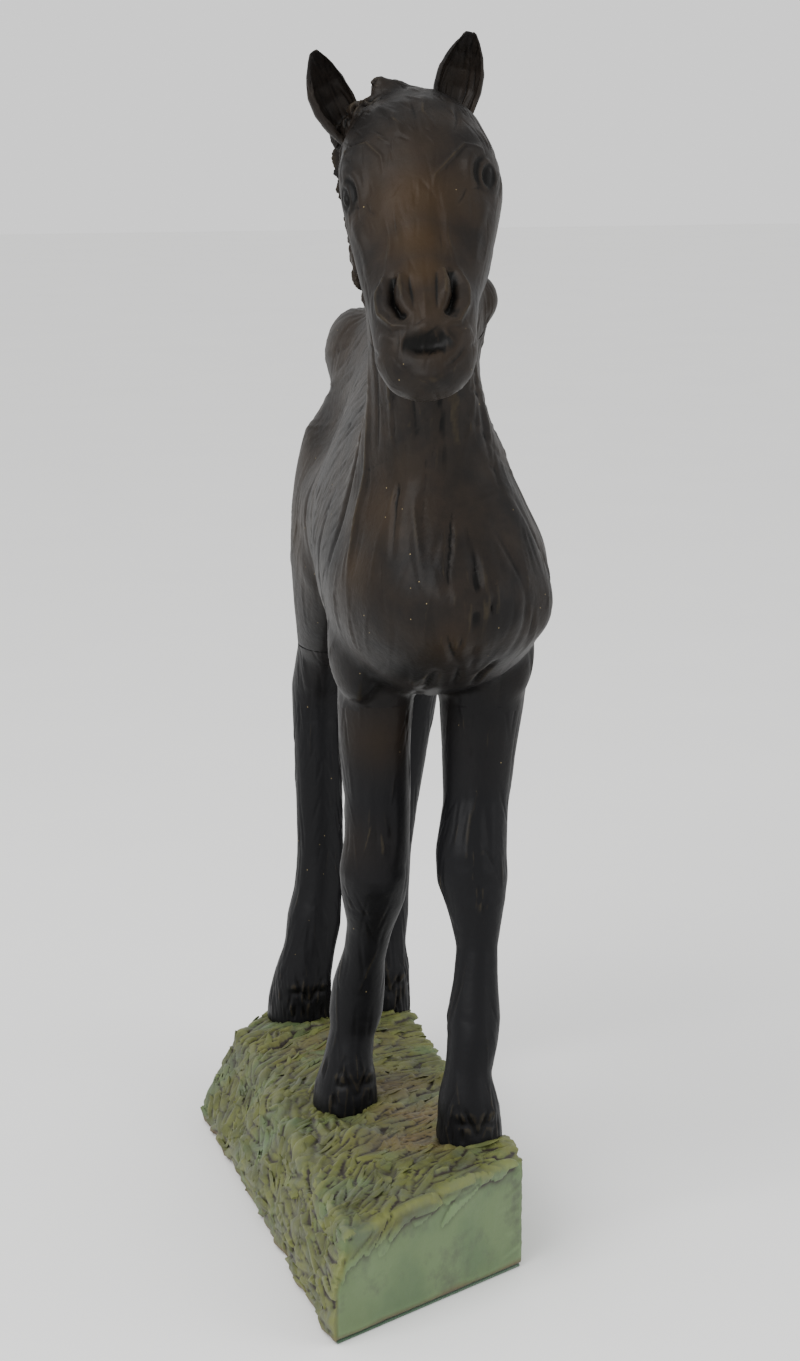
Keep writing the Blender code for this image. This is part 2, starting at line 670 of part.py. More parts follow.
# ---- bottom board, its screws and the pad -------------------------------------------------
def footprint(shrink):
    """The block's outline on the table, pulled in by a margin."""
    cut_side = [plinth_section(t, shrink)[5][:2] for t in SHOULDERS]
    back = plinth_section(1.0, shrink)
    return [plinth_section(0.0, shrink)[0][:2], *cut_side, back[6][:2], back[0][:2]]


def plate(name, outline, z_low, z_high):
    n = len(outline)
    vertices = [(x, y, z_low) for x, y in outline] + [(x, y, z_high) for x, y in outline]
    faces = [tuple(reversed(range(n))), tuple(range(n, 2 * n))]
    faces += [(i, (i + 1) % n, n + (i + 1) % n, n + i) for i in range(n)]
    return mesh_object(name, vertices, faces)


board = plate("bottom_board", footprint(WALL + 2 * GAP), BASE_Z, BOARD_TOP)
screws = []
for name, (x, y) in lugs.items():
    low, high = BASE_Z + 0.0001, BASE_Z + SCREW_LENGTH
    outline = ((0, high), (0.0004, high), (SCREW_R, high - 0.003), (SCREW_R, low + 0.0022))
    outline += ((SCREW_HEAD_R, low + 0.0004), (SCREW_HEAD_R, low), (0, low))
    screws.append(turned("board_screw_" + name, outline, x, y))
    wide = ((0, BOARD_TOP + 0.01), (SCREW_R + GAP, BOARD_TOP + 0.01), (SCREW_R + GAP, low + 0.0022 + GAP))
    wide += ((SCREW_HEAD_R + GAP, low + 0.0004 + GAP), (SCREW_HEAD_R + GAP, low - 0.01), (0, low - 0.01))
    cut(board, turned("countersink_" + name, wide, x, y))
PAD_MARGIN = 0.0010
pad = plate("base_pad", footprint(PAD_MARGIN), 0.0, FELT_T)

# ---- nodes --------------------------------------------------------------------------------
for made in (torso, neck, head, tail, ears["left"][0], ears["right"][0], *legs.values(), *plugs):
    finish(made, DARK_BRONZE, angle=50)
finish(plinth, GREEN_BRONZE)
for made in (*fixings, *screws):
    finish(made, ZINC)
finish(board, PLYWOOD)
finish(pad, BAIZE)
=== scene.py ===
import json
import math

import bmesh
import bpy
import numpy as np
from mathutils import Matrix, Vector
from mathutils.bvhtree import BVHTree

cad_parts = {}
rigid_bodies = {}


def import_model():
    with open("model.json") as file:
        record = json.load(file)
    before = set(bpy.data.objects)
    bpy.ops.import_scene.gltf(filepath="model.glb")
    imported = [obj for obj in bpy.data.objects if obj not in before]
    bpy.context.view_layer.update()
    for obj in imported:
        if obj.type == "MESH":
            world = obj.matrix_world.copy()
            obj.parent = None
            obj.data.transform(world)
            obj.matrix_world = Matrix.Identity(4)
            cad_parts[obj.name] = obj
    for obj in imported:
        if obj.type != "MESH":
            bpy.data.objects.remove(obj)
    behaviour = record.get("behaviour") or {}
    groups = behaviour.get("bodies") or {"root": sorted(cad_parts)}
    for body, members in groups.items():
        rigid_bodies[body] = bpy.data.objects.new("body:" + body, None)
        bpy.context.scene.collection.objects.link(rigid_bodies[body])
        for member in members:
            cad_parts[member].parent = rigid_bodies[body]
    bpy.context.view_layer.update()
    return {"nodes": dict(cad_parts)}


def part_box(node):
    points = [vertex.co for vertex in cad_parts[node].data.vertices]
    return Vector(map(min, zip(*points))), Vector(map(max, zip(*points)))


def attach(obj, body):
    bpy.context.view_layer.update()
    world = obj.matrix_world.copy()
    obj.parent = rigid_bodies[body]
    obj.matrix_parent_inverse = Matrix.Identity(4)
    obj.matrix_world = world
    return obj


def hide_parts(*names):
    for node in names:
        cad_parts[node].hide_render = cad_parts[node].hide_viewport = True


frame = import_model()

# ---- Foal: the clay ------------------------------------------------------------------------
# The foal was modelled by hand over an armature, cast hollow in bronze in sections by lost wax,
# and the sections were welded at their joints and chased. Here the castings' own shapes are the
# armature: they are merged into one skin, built up with pellets, and worked all over.
SKIN_VOXEL = 0.0012
ARMATURE = (
    "torso",
    "neck",
    "head",
    "leg_front_left",
    "leg_front_right",
    "leg_hind_left",
    "leg_hind_right",
    "core_plug_1",
    "core_plug_2",
)


def deselect():
    for obj in bpy.context.selected_objects:
        obj.select_set(False)


def choose(obj):
    deselect()
    obj.select_set(True)
    bpy.context.view_layer.objects.active = obj
    return obj


def modify(obj, kind, **settings):
    """Adds a modifier, sets it and applies it."""
    modifier = obj.modifiers.new(kind.lower(), kind)
    for key, value in settings.items():
        setattr(modifier, key, value)
    choose(obj)
    bpy.ops.object.modifier_apply(modifier=modifier.name)
    return obj


def copy_of(name):
    """A free, merged copy of a casting."""
    copied = frame["nodes"][name].copy()
    copied.data = copied.data.copy()
    copied.parent = None
    for key in list(copied.keys()):
        del copied[key]
    copied.name = "armature_" + name
    bpy.context.scene.collection.objects.link(copied)
    choose(copied)
    bpy.ops.object.mode_set(mode="EDIT")
    bpy.ops.mesh.select_all(action="SELECT")
    bpy.ops.mesh.remove_doubles(threshold=0.00001)
    bpy.ops.object.mode_set(mode="OBJECT")
    return copied


def pellet(place, size, turn=(0, 0, 0)):
    """A pressed-on pellet of clay: place and three half sizes in mm, turn in degrees."""
    deselect()
    bpy.ops.mesh.primitive_ico_sphere_add(subdivisions=3, radius=1)
    lump = bpy.context.object
    lump.scale = [s / 1000 for s in size]
    lump.rotation_euler = [math.radians(a) for a in turn]
    lump.location = [p / 1000 for p in place]
    bpy.ops.object.transform_apply(location=True, rotation=True, scale=True)
    return lump


def merged(name, objects):
    deselect()
    for obj in objects:
        obj.select_set(True)
    bpy.context.view_layer.objects.active = objects[0]
    bpy.ops.object.join()
    objects[0].name = name
    return objects[0]


def outer_skin(obj):
    """Keeps the largest shell and drops the sealed hollows inside it."""
    choose(obj)
    before = set(bpy.data.objects)
    bpy.ops.object.mode_set(mode="EDIT")
    bpy.ops.mesh.select_all(action="SELECT")
    bpy.ops.mesh.separate(type="LOOSE")
    bpy.ops.object.mode_set(mode="OBJECT")
    shells = [obj] + [o for o in bpy.data.objects if o not in before]
    shells.sort(key=lambda o: len(o.data.vertices))
    largest = shells.pop()
    for shell in shells:
        bpy.data.objects.remove(shell)
    return largest


def surface_of(obj):
    tree = bmesh.new()
    tree.from_mesh(obj.data)
    surface = BVHTree.FromBMesh(tree)
    tree.free()
    return surface


# x to the foal's left, y backwards, z up
clay = [copy_of(name) for name in ARMATURE]
clay += [
    # shoulder blade, each side
    pellet((57, -62, 298), (14, 27, 33), (14, 8, 0)),
    pellet((-4, -58, 310), (12, 26, 36), (18, -8, 0)),
    # point of shoulder
    pellet((52, -86, 296), (17, 20, 20)),
    pellet((0, -84, 296), (17, 20, 20)),
    # breast, two rounded masses with a furrow between
    pellet((38, -97, 300), (17, 17, 27), (-14, 0, 0)),
    pellet((10, -95, 300), (17, 17, 27), (-14, 0, 0)),
    # upper arm over the elbow
    pellet((60, -40, 270), (13, 22, 28), (-20, 0, 0)),
    pellet((-8, -34, 270), (12, 22, 26), (-20, 0, 0)),
    # croup, haunch and thigh
    pellet((38, 144, 382), (18, 38, 25)),
    pellet((68, 122, 322), (13, 34, 44), (-14, 8, 0)),
    pellet((19, 120, 306), (12, 34, 34), (-14, -12, 0)),
    pellet((66, 150, 300), (12, 26, 40), (-8, 0, 0)),
    pellet((17, 150, 296), (12, 26, 38), (-8, 0, 0)),
    # point of hip and stifle
    pellet((60, 92, 370), (8, 16, 12)),
    pellet((74, 112, 288), (9, 16, 17), (-20, 0, 0)),
    pellet((7, 112, 286), (9, 16, 17), (-20, 0, 0)),
    # round cheek of the neck, on the left behind the jaw
    pellet((36.5, -72, 424), (11, 15, 14), (0, -8, 0)),
    # tuft between the ears
    pellet((-9, -89, 514), (5, 4.5, 7), (0, -14, 0)),
    pellet((-3, -90, 514), (6, 4.5, 5.5)),
    pellet((4, -92, 512), (7, 4.5, 4.5)),
    pellet((-17, -90, 506), (7, 5, 5)),
    # mane, pressed down the right of the crest
    *(pellet((-20 + 2.1 * i, -77 + 4.4 * i, 494 - 8.3 * i), (6, 8, 8.5)) for i in range(8)),
    # filling at the two joints of the neck, and stoppers in the holes for the pegs
    pellet((14, -70, 412), (22, 33, 13), (-16, 0, 0)),
    pellet((2, -85, 466), (21.5, 29, 12), (-14, 0, 0)),
    pellet((20, -91, 499), (8.5, 8, 9)),
    pellet((-22, -82, 494), (7, 6, 7)),
    pellet((44, 170, 377), (12, 13, 14)),
]
foal = merged("foal_clay", clay)
# the castings are hollow, so a coarse body of the same form fills them: what can't be seen from
# outside is taken off it, the holes left are closed, and it is made a little smaller
core = foal.copy()
core.data = foal.data.copy()
bpy.context.scene.collection.objects.link(core)
modify(core, "REMESH", mode="VOXEL", voxel_size=0.003)
surface = surface_of(core)
STEPS = (-1, 0, 1)
sight = [Vector((x, y, z)) for x in STEPS for y in STEPS for z in STEPS if x or y or z]
choose(core)
bpy.ops.object.mode_set(mode="EDIT")
bpy.ops.mesh.select_all(action="DESELECT")
bpy.ops.object.mode_set(mode="OBJECT")
for vertex in core.data.vertices:
    start = vertex.co + vertex.normal * 0.0005
    ways = [vertex.normal, *(w for w in sight if w.dot(vertex.normal) > 0)]
    vertex.select = all(surface.ray_cast(start, way)[0] is not None for way in ways)
bpy.ops.object.mode_set(mode="EDIT")
bpy.ops.mesh.delete(type="VERT")
bpy.ops.mesh.select_all(action="SELECT")
bpy.ops.mesh.fill_holes(sides=0)
bpy.ops.object.mode_set(mode="OBJECT")
core = outer_skin(core)
modify(core, "DISPLACE", strength=-0.0022, mid_level=0.0)
foal = merged("foal_clay", [foal, core])
modify(foal, "REMESH", mode="VOXEL", voxel_size=SKIN_VOXEL)
foal = outer_skin(foal)


def points_of(obj):
    co = np.empty(len(obj.data.vertices) * 3, np.float32)
    obj.data.vertices.foreach_get("co", co)
    return co.reshape(-1, 3).astype(float)


def normals_of(obj):
    no = np.empty(len(obj.data.vertices) * 3, np.float32)
    obj.data.vertex_normals.foreach_get("vector", no)
    return no.reshape(-1, 3).astype(float)


def edges_of(obj):
    ends = np.empty(len(obj.data.edges) * 2, np.int32)
    obj.data.edges.foreach_get("vertices", ends)
    return ends.reshape(-1, 2)


def set_points(obj, co):
    obj.data.vertices.foreach_set("co", np.ascontiguousarray(co, np.float32).ravel())
    obj.data.update()


def eased(values, ends, times):
    """Values at the vertices, averaged with their neighbours so many times."""
    values = np.asarray(values, float)
    flat = values.reshape(len(values), -1)
    count = np.bincount(ends.ravel(), minlength=len(flat)).astype(float)
    for _ in range(times):
        total = np.empty_like(flat)
        for i in range(flat.shape[1]):
            total[:, i] = np.bincount(ends[:, 0], flat[ends[:, 1], i], len(flat))
            total[:, i] += np.bincount(ends[:, 1], flat[ends[:, 0], i], len(flat))
        flat = 0.5 * flat + 0.5 * total / count[:, None]
    return flat.reshape(values.shape)


def swell(obj, places):
    """Broad pushes and pulls along the normal: place, reach and height in mm."""
    co, no = points_of(obj), normals_of(obj)
    rise = np.zeros(len(co))
    for place, reach, height in places:
        away = np.linalg.norm(co - np.array(place) / 1000, axis=1) * 1000 / reach
        rise += height * np.exp(-(away**2))
    set_points(obj, co + no * rise[:, None] / 1000)


co = points_of(foal)
set_points(foal, eased(co, edges_of(foal), 10))
# the trunk is smoothed further, with a wide paddle
co = points_of(foal)
trunk = np.clip((co[:, 2] - 0.25) / 0.03, 0, 1) * np.clip((0.425 - co[:, 2]) / 0.02, 0, 1)
trunk *= np.clip((co[:, 1] + 0.135) / 0.01, 0, 1)
set_points(foal, co + (eased(co, edges_of(foal), 90) - co) * trunk[:, None])
swell(
    foal,
    [
        ((2, 112, 352), 26, -5.0),  # loin above the right flank
        ((52, -66, 388), 24, -8.0),  # hollow of the neck's base on the left
        ((42, -92, 404), 17, -4.0),
        ((2, 90, 362), 36, -6.0),  # slope of the back above the right flank
        ((24, -122, 316), 9, -3.0),  # furrow of the breast
        ((24, -116, 336), 8, -2.0),
        ((50, -112, 330), 12, -2.0),  # hollow ahead of the left shoulder
        ((68, 60, 300), 26, -3.0),  # flank, each side
        ((0, 62, 300), 26, -3.0),
    ],
)

# ---- Foal: the sculptor's strokes ------------------------------------------------------------
# Each section of the foal is cut from the clay a little past its joint, given a finer skin, and
# worked with strokes: creases, folds and lids put in one by one, and the marks of the modelling
# tool laid over them by the hundred. Then it is cut off at its joint.
FACE = Vector((0.0005, -0.121, 0.473))  # between the eyes, inside the head
DOWN = Vector((-0.103, -0.703, -0.703)).normalized()  # from the poll to the muzzle
ACROSS = Vector((0.953, -0.271, 0.132)).normalized()  # to the foal's left
OUT = Vector((-0.284, -0.657, 0.699)).normalized()  # from the jaw to the face


def face(side, down, out=14):
    """A place on the head, in mm across, down and out from between the eyes."""
    return FACE + (ACROSS * side + DOWN * down + OUT * out) / 1000


def mm(x, y, z):
    return Vector((x, y, z)) / 1000


def slice_of(source, name, cuts, near, size):
    """A closed section of the clay between flat cuts, with a skin of its own fineness."""
    part = source.copy()
    part.data = source.data.copy()
    part.name = name
    bpy.context.scene.collection.objects.link(part)
    trim(part, cuts, 0.006)
    return modify(keep_near(part, near, name), "REMESH", mode="VOXEL", voxel_size=size)


def trim(part, cuts, past=0.0):
    """Cuts the part flat at each place, keeps what lies against the direction, and caps it."""
    choose(part)
    bpy.ops.object.mode_set(mode="EDIT")
    for place, direction in cuts:
        direction = Vector(direction).normalized()
        bpy.ops.mesh.select_all(action="SELECT")
        bpy.ops.mesh.bisect(
            plane_co=place + direction * past,
            plane_no=direction,
            use_fill=True,
            clear_outer=True,
        )
    bpy.ops.object.mode_set(mode="OBJECT")
    return part


def keep_near(part, near, name):
    """Of the loose bodies left by the cuts, keeps the one whose middle is nearest."""
    choose(part)
    before = set(bpy.data.objects)
    bpy.ops.object.mode_set(mode="EDIT")
    bpy.ops.mesh.select_all(action="SELECT")
    bpy.ops.mesh.separate(type="LOOSE")
    bpy.ops.object.mode_set(mode="OBJECT")
    bodies = [part] + [o for o in bpy.data.objects if o not in before]
    bodies = [o for o in bodies if len(o.data.vertices) > 200]
    bodies.sort(key=lambda o: (Vector(points_of(o).mean(axis=0)) - near).length)
    for body in [part] + [o for o in bpy.data.objects if o not in before]:
        if body is not bodies[0]:
            bpy.data.objects.remove(body)
    bodies[0].name = name
    return bodies[0]


def along(co, path):
    """Distance to a path, and how far along it, 0 to 1, for each point near it."""
    best = np.full(len(co), 1e9)
    share = np.zeros(len(co))
    steps = [np.linalg.norm(b - a) for a, b in zip(path[:-1], path[1:])]
    total, gone = sum(steps), 0.0
    for a, b, step in zip(path[:-1], path[1:], steps):
        t = np.clip((co - a) @ (b - a) / max(step**2, 1e-12), 0, 1)
        away = np.linalg.norm(co - (a + t[:, None] * (b - a)), axis=1)
        nearer = away < best
        best = np.where(nearer, away, best)
        share = np.where(nearer, (gone + t * step) / total, share)
        gone += step
    return best, share


def strokes(obj, marks, taper=0.35):
    """Strokes along the surface: each is a path, a half width and a height in mm."""
    surface = surface_of(obj)
    co, no = points_of(obj), normals_of(obj)
    rise = np.zeros(len(co))
    for path, width, height in marks:
        path = np.array([surface.find_nearest(Vector(p))[0] for p in path])
        reach = width * 2.2 / 1000
        near = np.all((co > path.min(0) - reach) & (co < path.max(0) + reach), axis=1)
        near = np.flatnonzero(near)
        if not len(near):
            continue
        away, share = along(co[near], path)
        ends = np.clip(np.minimum(share, 1 - share) / max(taper, 1e-6), 0.0, 1.0)
        rise[near] += height * np.exp(-((away * 1000 / width) ** 2)) * np.sqrt(ends + 0.02)
    set_points(obj, co + no * rise[:, None] / 1000)


def finder(co):
    """Gives what lists the points near a place, from the points sorted along their longest side."""
    axis = int(np.ptp(co, axis=0).argmax())
    order = np.argsort(co[:, axis])
    level = co[order, axis]

    def near(place, reach):
        low, high = np.searchsorted(level, (place[axis] - reach, place[axis] + reach))
        found = order[low:high]
        return found[(np.abs(co[found] - place) < reach).all(axis=1)]

    return near


def tool_marks(obj, seed, count, flow, length, width, depth, where=None):
    """Random strokes of the modelling tool, laid along the flow of the form."""
    rng = np.random.default_rng(seed)
    co, no = points_of(obj), normals_of(obj)
    within = finder(co)
    choice = np.arange(len(co)) if where is None else np.flatnonzero(where(co))
    rise = np.zeros(len(co))
    for start in rng.choice(choice, count):
        ahead = np.asarray(flow(co[start]), float) + rng.normal(0, 0.16, 3)
        ahead -= no[start] * (ahead @ no[start])
        ahead /= np.linalg.norm(ahead) + 1e-9
        beside = np.cross(no[start], ahead)
        long = rng.uniform(0.5, 1.0) * length / 1000
        wide = rng.uniform(0.5, 1.0) * width / 1000
        high = rng.uniform(0.35, 1.0) * depth * rng.choice((-1, 1), p=(0.62, 0.38))
        near = within(co[start], long)
        offset = co[near] - co[start]
        u, v = offset @ ahead / long, offset @ beside / wide
        inside = (np.abs(u) < 1) & (np.abs(v) < 1) & (no[near] @ no[start] > 0.3)
        shape = (1 - u**2) * (1 - v**2) ** 2
        rise[near] += np.where(inside, shape * high, 0)
    set_points(obj, co + no * rise[:, None] / 1000)


def relief_for_wear_and_shade(obj, name, reach):
    """Stores how far each point stands proud of its surroundings, from -1 in a hollow to 1. It
    pales the rubbed edges and darkens the hollows with patina and painted shade.
    """
    co, ends = points_of(obj), edges_of(obj)
    proud = ((co - eased(co, ends, reach)) * normals_of(obj)).sum(axis=1)
    spread = np.percentile(np.abs(proud), 90) + 1e-9
    proud = np.clip(proud / spread / 2, -1, 1)
    store(obj, name, proud)
    return proud


def store(obj, name, values):
    layer = obj.data.attributes.get(name) or obj.data.attributes.new(name, "FLOAT", "POINT")
    layer.data.foreach_set("value", np.ascontiguousarray(values, np.float32))


def smooth_shaded(obj, angle=60):
    choose(obj)
    bpy.ops.object.shade_smooth_by_angle(angle=math.radians(angle), keep_sharp_edges=False)
    return obj


# cuts at the castings' joints: place, direction of what is cut away
NECK_BASE = (mm(17, -70, 412), Vector((-0.158, -0.277, 0.948)))
THROAT = (FACE - OUT * 0.038, OUT)
FORE_ELBOW = (mm(30, -30, 240), Vector((0, 0, -1)))
GASKIN = (mm(40, 157, 232), Vector((0, 0, -1)))
MID_BARREL = (mm(0, 60, 0), Vector((0, 1, 0)))


def away(cut):
    return (cut[0], -cut[1])


# ---- Patina of the foal ----------------------------------------------------------------------
# Bronze coloured with hot liver of sulphur and ferric nitrate and waxed. Nearly black brown,
# warmer and golden where it was heated most, rubbed paler on proud edges, black in hollows from
# dark patina and painted shade, with more painted shade in the pockets of the eyes, nostrils,
# mouth and ears and down the mane, darker towards the bottom from the lower legs' own patina and
# painted shade under the belly, and with a soft waxed sheen broken by fine tool marks and tiny
# pits of the casting.


def linear(code):
    """An sRGB colour, as a hex code, in the linear values that shaders take."""
    parts = [int(code[i : i + 2], 16) / 255 for i in (0, 2, 4)]
    parts = [c / 12.92 if c <= 0.04045 else ((c + 0.055) / 1.055) ** 2.4 for c in parts]
    return (*parts, 1.0)


def add(tree, kind, values=None, links=None, **settings):
    """A node with its settings, its unlinked values and its links."""
    node = tree.nodes.new(kind)
    for key, value in settings.items():
        setattr(node, key, value)
    for key, value in (values or {}).items():
        node.inputs[key].default_value = value
    for key, socket in (links or {}).items():
        tree.links.new(socket, node.inputs[key])
    return node


def new_material(name):
    made = bpy.data.materials.new(name)
    made.use_nodes = True
    tree = made.node_tree
    return made, tree, tree.nodes["Principled BSDF"]


dark_bronze, tree, shader = new_material("bronze_dark_brown_patina_waxed")
where = add(tree, "ShaderNodeTexCoord").outputs["Object"]
height = add(tree, "ShaderNodeSeparateXYZ", links={"Vector": where}).outputs["Z"]
relief = add(tree, "ShaderNodeAttribute", attribute_name="relief").outputs["Fac"]
warmth = add(tree, "ShaderNodeAttribute", attribute_name="warmth").outputs["Fac"]
# cloudy patches about 25 mm across
cloud = add(
    tree,
    "ShaderNodeTexNoise",
    {"Scale": 40.0, "Detail": 5.0, "Roughness": 0.6},
    {"Vector": where},
)
cloudy = add(
    tree,
    "ShaderNodeMapRange",
    {"From Min": 0.38, "From Max": 0.66},
    {"Value": cloud.outputs["Fac"]},
)
browns = add(
    tree,
    "ShaderNodeMix",
    {"A": linear("161413"), "B": linear("251f1a")},
    {"Factor": cloudy.outputs["Result"]},
    data_type="RGBA",
)
# darker below 0.33 m: the lower legs' own nearly black patina, and painted shade on the belly
low = add(tree, "ShaderNodeMapRange", {"From Min": 0.33, "From Max": 0.20}, {"Value": height})
# near black in hollows: the dark patina that gathers there, and painted shade
hollow_patina_and_shade = add(tree, "ShaderNodeMapRange", {"From Min": -0.25, "From Max": -0.95}, {"Value": relief})
# rubbed edges break up over 3 mm
rub = add(tree, "ShaderNodeTexNoise", {"Scale": 330.0, "Detail": 3.0}, {"Vector": where})
edge = add(
    tree,
    "ShaderNodeMapRange",
    {"From Min": 0.5, "From Max": 1.0, "To Max": 0.32},
    {"Value": relief},
)
rubbed = add(
    tree,
    "ShaderNodeMath",
    links={0: edge.outputs["Result"], 1: rub.outputs["Fac"]},
    operation="MULTIPLY",
)
# bright specks of bare metal, one every 8 mm or so and a third of a millimetre across
speck = add(tree, "ShaderNodeTexVoronoi", {"Scale": 125.0}, {"Vector": where})
bare = add(
    tree,
    "ShaderNodeMapRange",
    {"From Min": 0.04, "From Max": 0.02},
    {"Value": speck.outputs["Distance"]},
)
colour = browns.outputs["Result"]
for code, share in (
    ("101012", low.outputs["Result"]),  # darker towards the bottom: the lower legs' nearly black patina with a blue cast, and painted shade under the belly
    ("352613", warmth),
    # near black in hollows: dark patina and painted shade
    ("090807", hollow_patina_and_shade.outputs["Result"]),
    ("564c37", rubbed.outputs["Value"]),
    ("94835e", bare.outputs["Result"]),
):
    layer = add(
        tree,
        "ShaderNodeMix",
        {"B": linear(code)},
        {"Factor": share, "A": colour},
        data_type="RGBA",
    )
    colour = layer.outputs["Result"]
tree.links.new(colour, shader.inputs["Base Color"])
gloss = add(
    tree,
    "ShaderNodeMapRange",
    {"To Min": 0.42, "To Max": 0.60},
    {"Value": rub.outputs["Fac"]},
)
tree.links.new(gloss.outputs["Result"], shader.inputs["Roughness"])
shader.inputs["Metallic"].default_value = 0.12
shader.inputs["Specular IOR Level"].default_value = 0.1
shader.inputs["Coat Weight"].default_value = 0.06
shader.inputs["Coat Roughness"].default_value = 0.3
# the grain of the investment, 0.5 mm, and a softer unevenness of 2 mm
grain = add(tree, "ShaderNodeTexNoise", {"Scale": 2000.0, "Detail": 2.0}, {"Vector": where})
uneven = add(tree, "ShaderNodeTexNoise", {"Scale": 420.0, "Detail": 4.0}, {"Vector": where})
soft = add(
    tree,
    "ShaderNodeBump",
    {"Strength": 0.5, "Distance": 0.0004},
    {"Height": uneven.outputs["Fac"]},
)
fine = add(
    tree,
    "ShaderNodeBump",
    {"Strength": 0.35, "Distance": 0.00012},
    {"Height": grain.outputs["Fac"], "Normal": soft.outputs["Normal"]},
)
tree.links.new(fine.outputs["Normal"], shader.inputs["Normal"])


def finished(obj, node_names, material, shade=60):
    """Colours a section, puts it on its body and hides the castings it stands for."""
    obj.data.materials.clear()
    obj.data.materials.append(material)
    smooth_shaded(obj, shade)
    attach(obj, "root")
    if node_names:
        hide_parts(*node_names)
    return obj


def warmed(obj, places):
    """Where the patina is warmer: place, reach in mm and how much."""
    co = points_of(obj)
    heat = np.zeros(len(co))
    for place, reach, share in places:
        away_mm = np.linalg.norm(co - np.array(place), axis=1) * 1000
        heat = np.maximum(heat, share * np.exp(-((away_mm / reach) ** 2)))
    store(obj, "warmth", heat)


def chased(obj, wear_and_shade):
    """The joints were chased smooth, so their edges are neither rubbed paler nor darkened with
    patina and painted shade.
    """
    co = points_of(obj)
    for place, way in (FORE_ELBOW, GASKIN, NECK_BASE, THROAT):
        past = np.abs((co - np.array(place)) @ np.array(Vector(way).normalized()))
        wear_and_shade = wear_and_shade * np.clip(past / 0.004 - 0.5, 0, 1)
    store(obj, "relief", wear_and_shade)


def painted_shade_in_pockets(obj, places):
    """Painted shade, lowering the relief where shade falls in pockets: place in mm, reach in mm and
    how much.
    """
    co = points_of(obj) * 1000
    relief = np.empty(len(co), np.float32)
    obj.data.attributes["relief"].data.foreach_get("value", relief)
    for place, reach, share in places:
        relief -= share * np.exp(-((np.linalg.norm(co - np.array(place), axis=1) / reach) ** 2))
    store(obj, "relief", np.clip(relief, -1, 1))


# ---- Head --------------------------------------------------------------------------------------
# The head is a hollow casting with thin walls, the most worked of all: lids, nostrils and lips
# were pressed in with a pointed tool, and the brow and cheeks drawn with the thumb.
head = slice_of(foal, "head_cast", [away(THROAT)], FACE, 0.00064)
MID = -2.4  # the face's middle line, across
EYES = {}
for hand in (-1, 1):
    # the eye looks out and a little forward
    EYES[hand] = (
        face(MID + 28.2 * hand, 4, 8 if hand > 0 else 7),
        (ACROSS * hand + OUT * 0.45).normalized(),
    )
balls = []
for place, look in EYES.values():
    ball = pellet((place - look * 0.0042) * 1000, (5.6, 5.6, 5.6))
    balls.append(ball)
head = merged("head_cast", [head, *balls])
modify(head, "REMESH", mode="VOXEL", voxel_size=0.00064)
set_points(head, eased(points_of(head), edges_of(head), 6))
swell(
    head,
    [
        (face(MID, -16) * 1000, 14, 2.0),  # forehead
        (face(MID - 24, -10, 12) * 1000, 8, 2.4),  # brows
        (face(MID + 24, -10, 12) * 1000, 8, 2.4),
        (face(MID - 22, 10, 12) * 1000, 7, -1.6),  # hollow below each eye, towards the nose
        (face(MID + 22, 10, 12) * 1000, 7, -1.6),
        (face(MID - 17, 34, 12) * 1000, 10, -1.8),
        (face(MID + 17, 34, 12) * 1000, 10, -1.8),
        (face(MID - 14, 66, 11) * 1000, 9, 2.6),  # swell of the nostrils
        (face(MID + 12, 66, 11) * 1000, 9, 2.6),
        (face(MID, 88, 12) * 1000, 7, -2.0),  # mouth
        (face(MID + 1, 99, 4) * 1000, 9, 1.2),  # chin
        (face(MID - 4, 62, 15) * 1000, 6, -1.0),
    ],
)


def ring(place, look, wide, tall, first, last, steps=7):
    """Points of an arc round an eye: wide down the face, tall across it, between two angles."""
    level = (DOWN - look * DOWN.dot(look)).normalized()
    rise = level.cross(look)
    if rise.dot(OUT) < 0:
        rise = -rise
    angles = [math.radians(first + (last - first) * i / (steps - 1)) for i in range(steps)]
    return [place + (level * math.cos(a) * wide + rise * math.sin(a) * tall) / 1000 for a in angles]


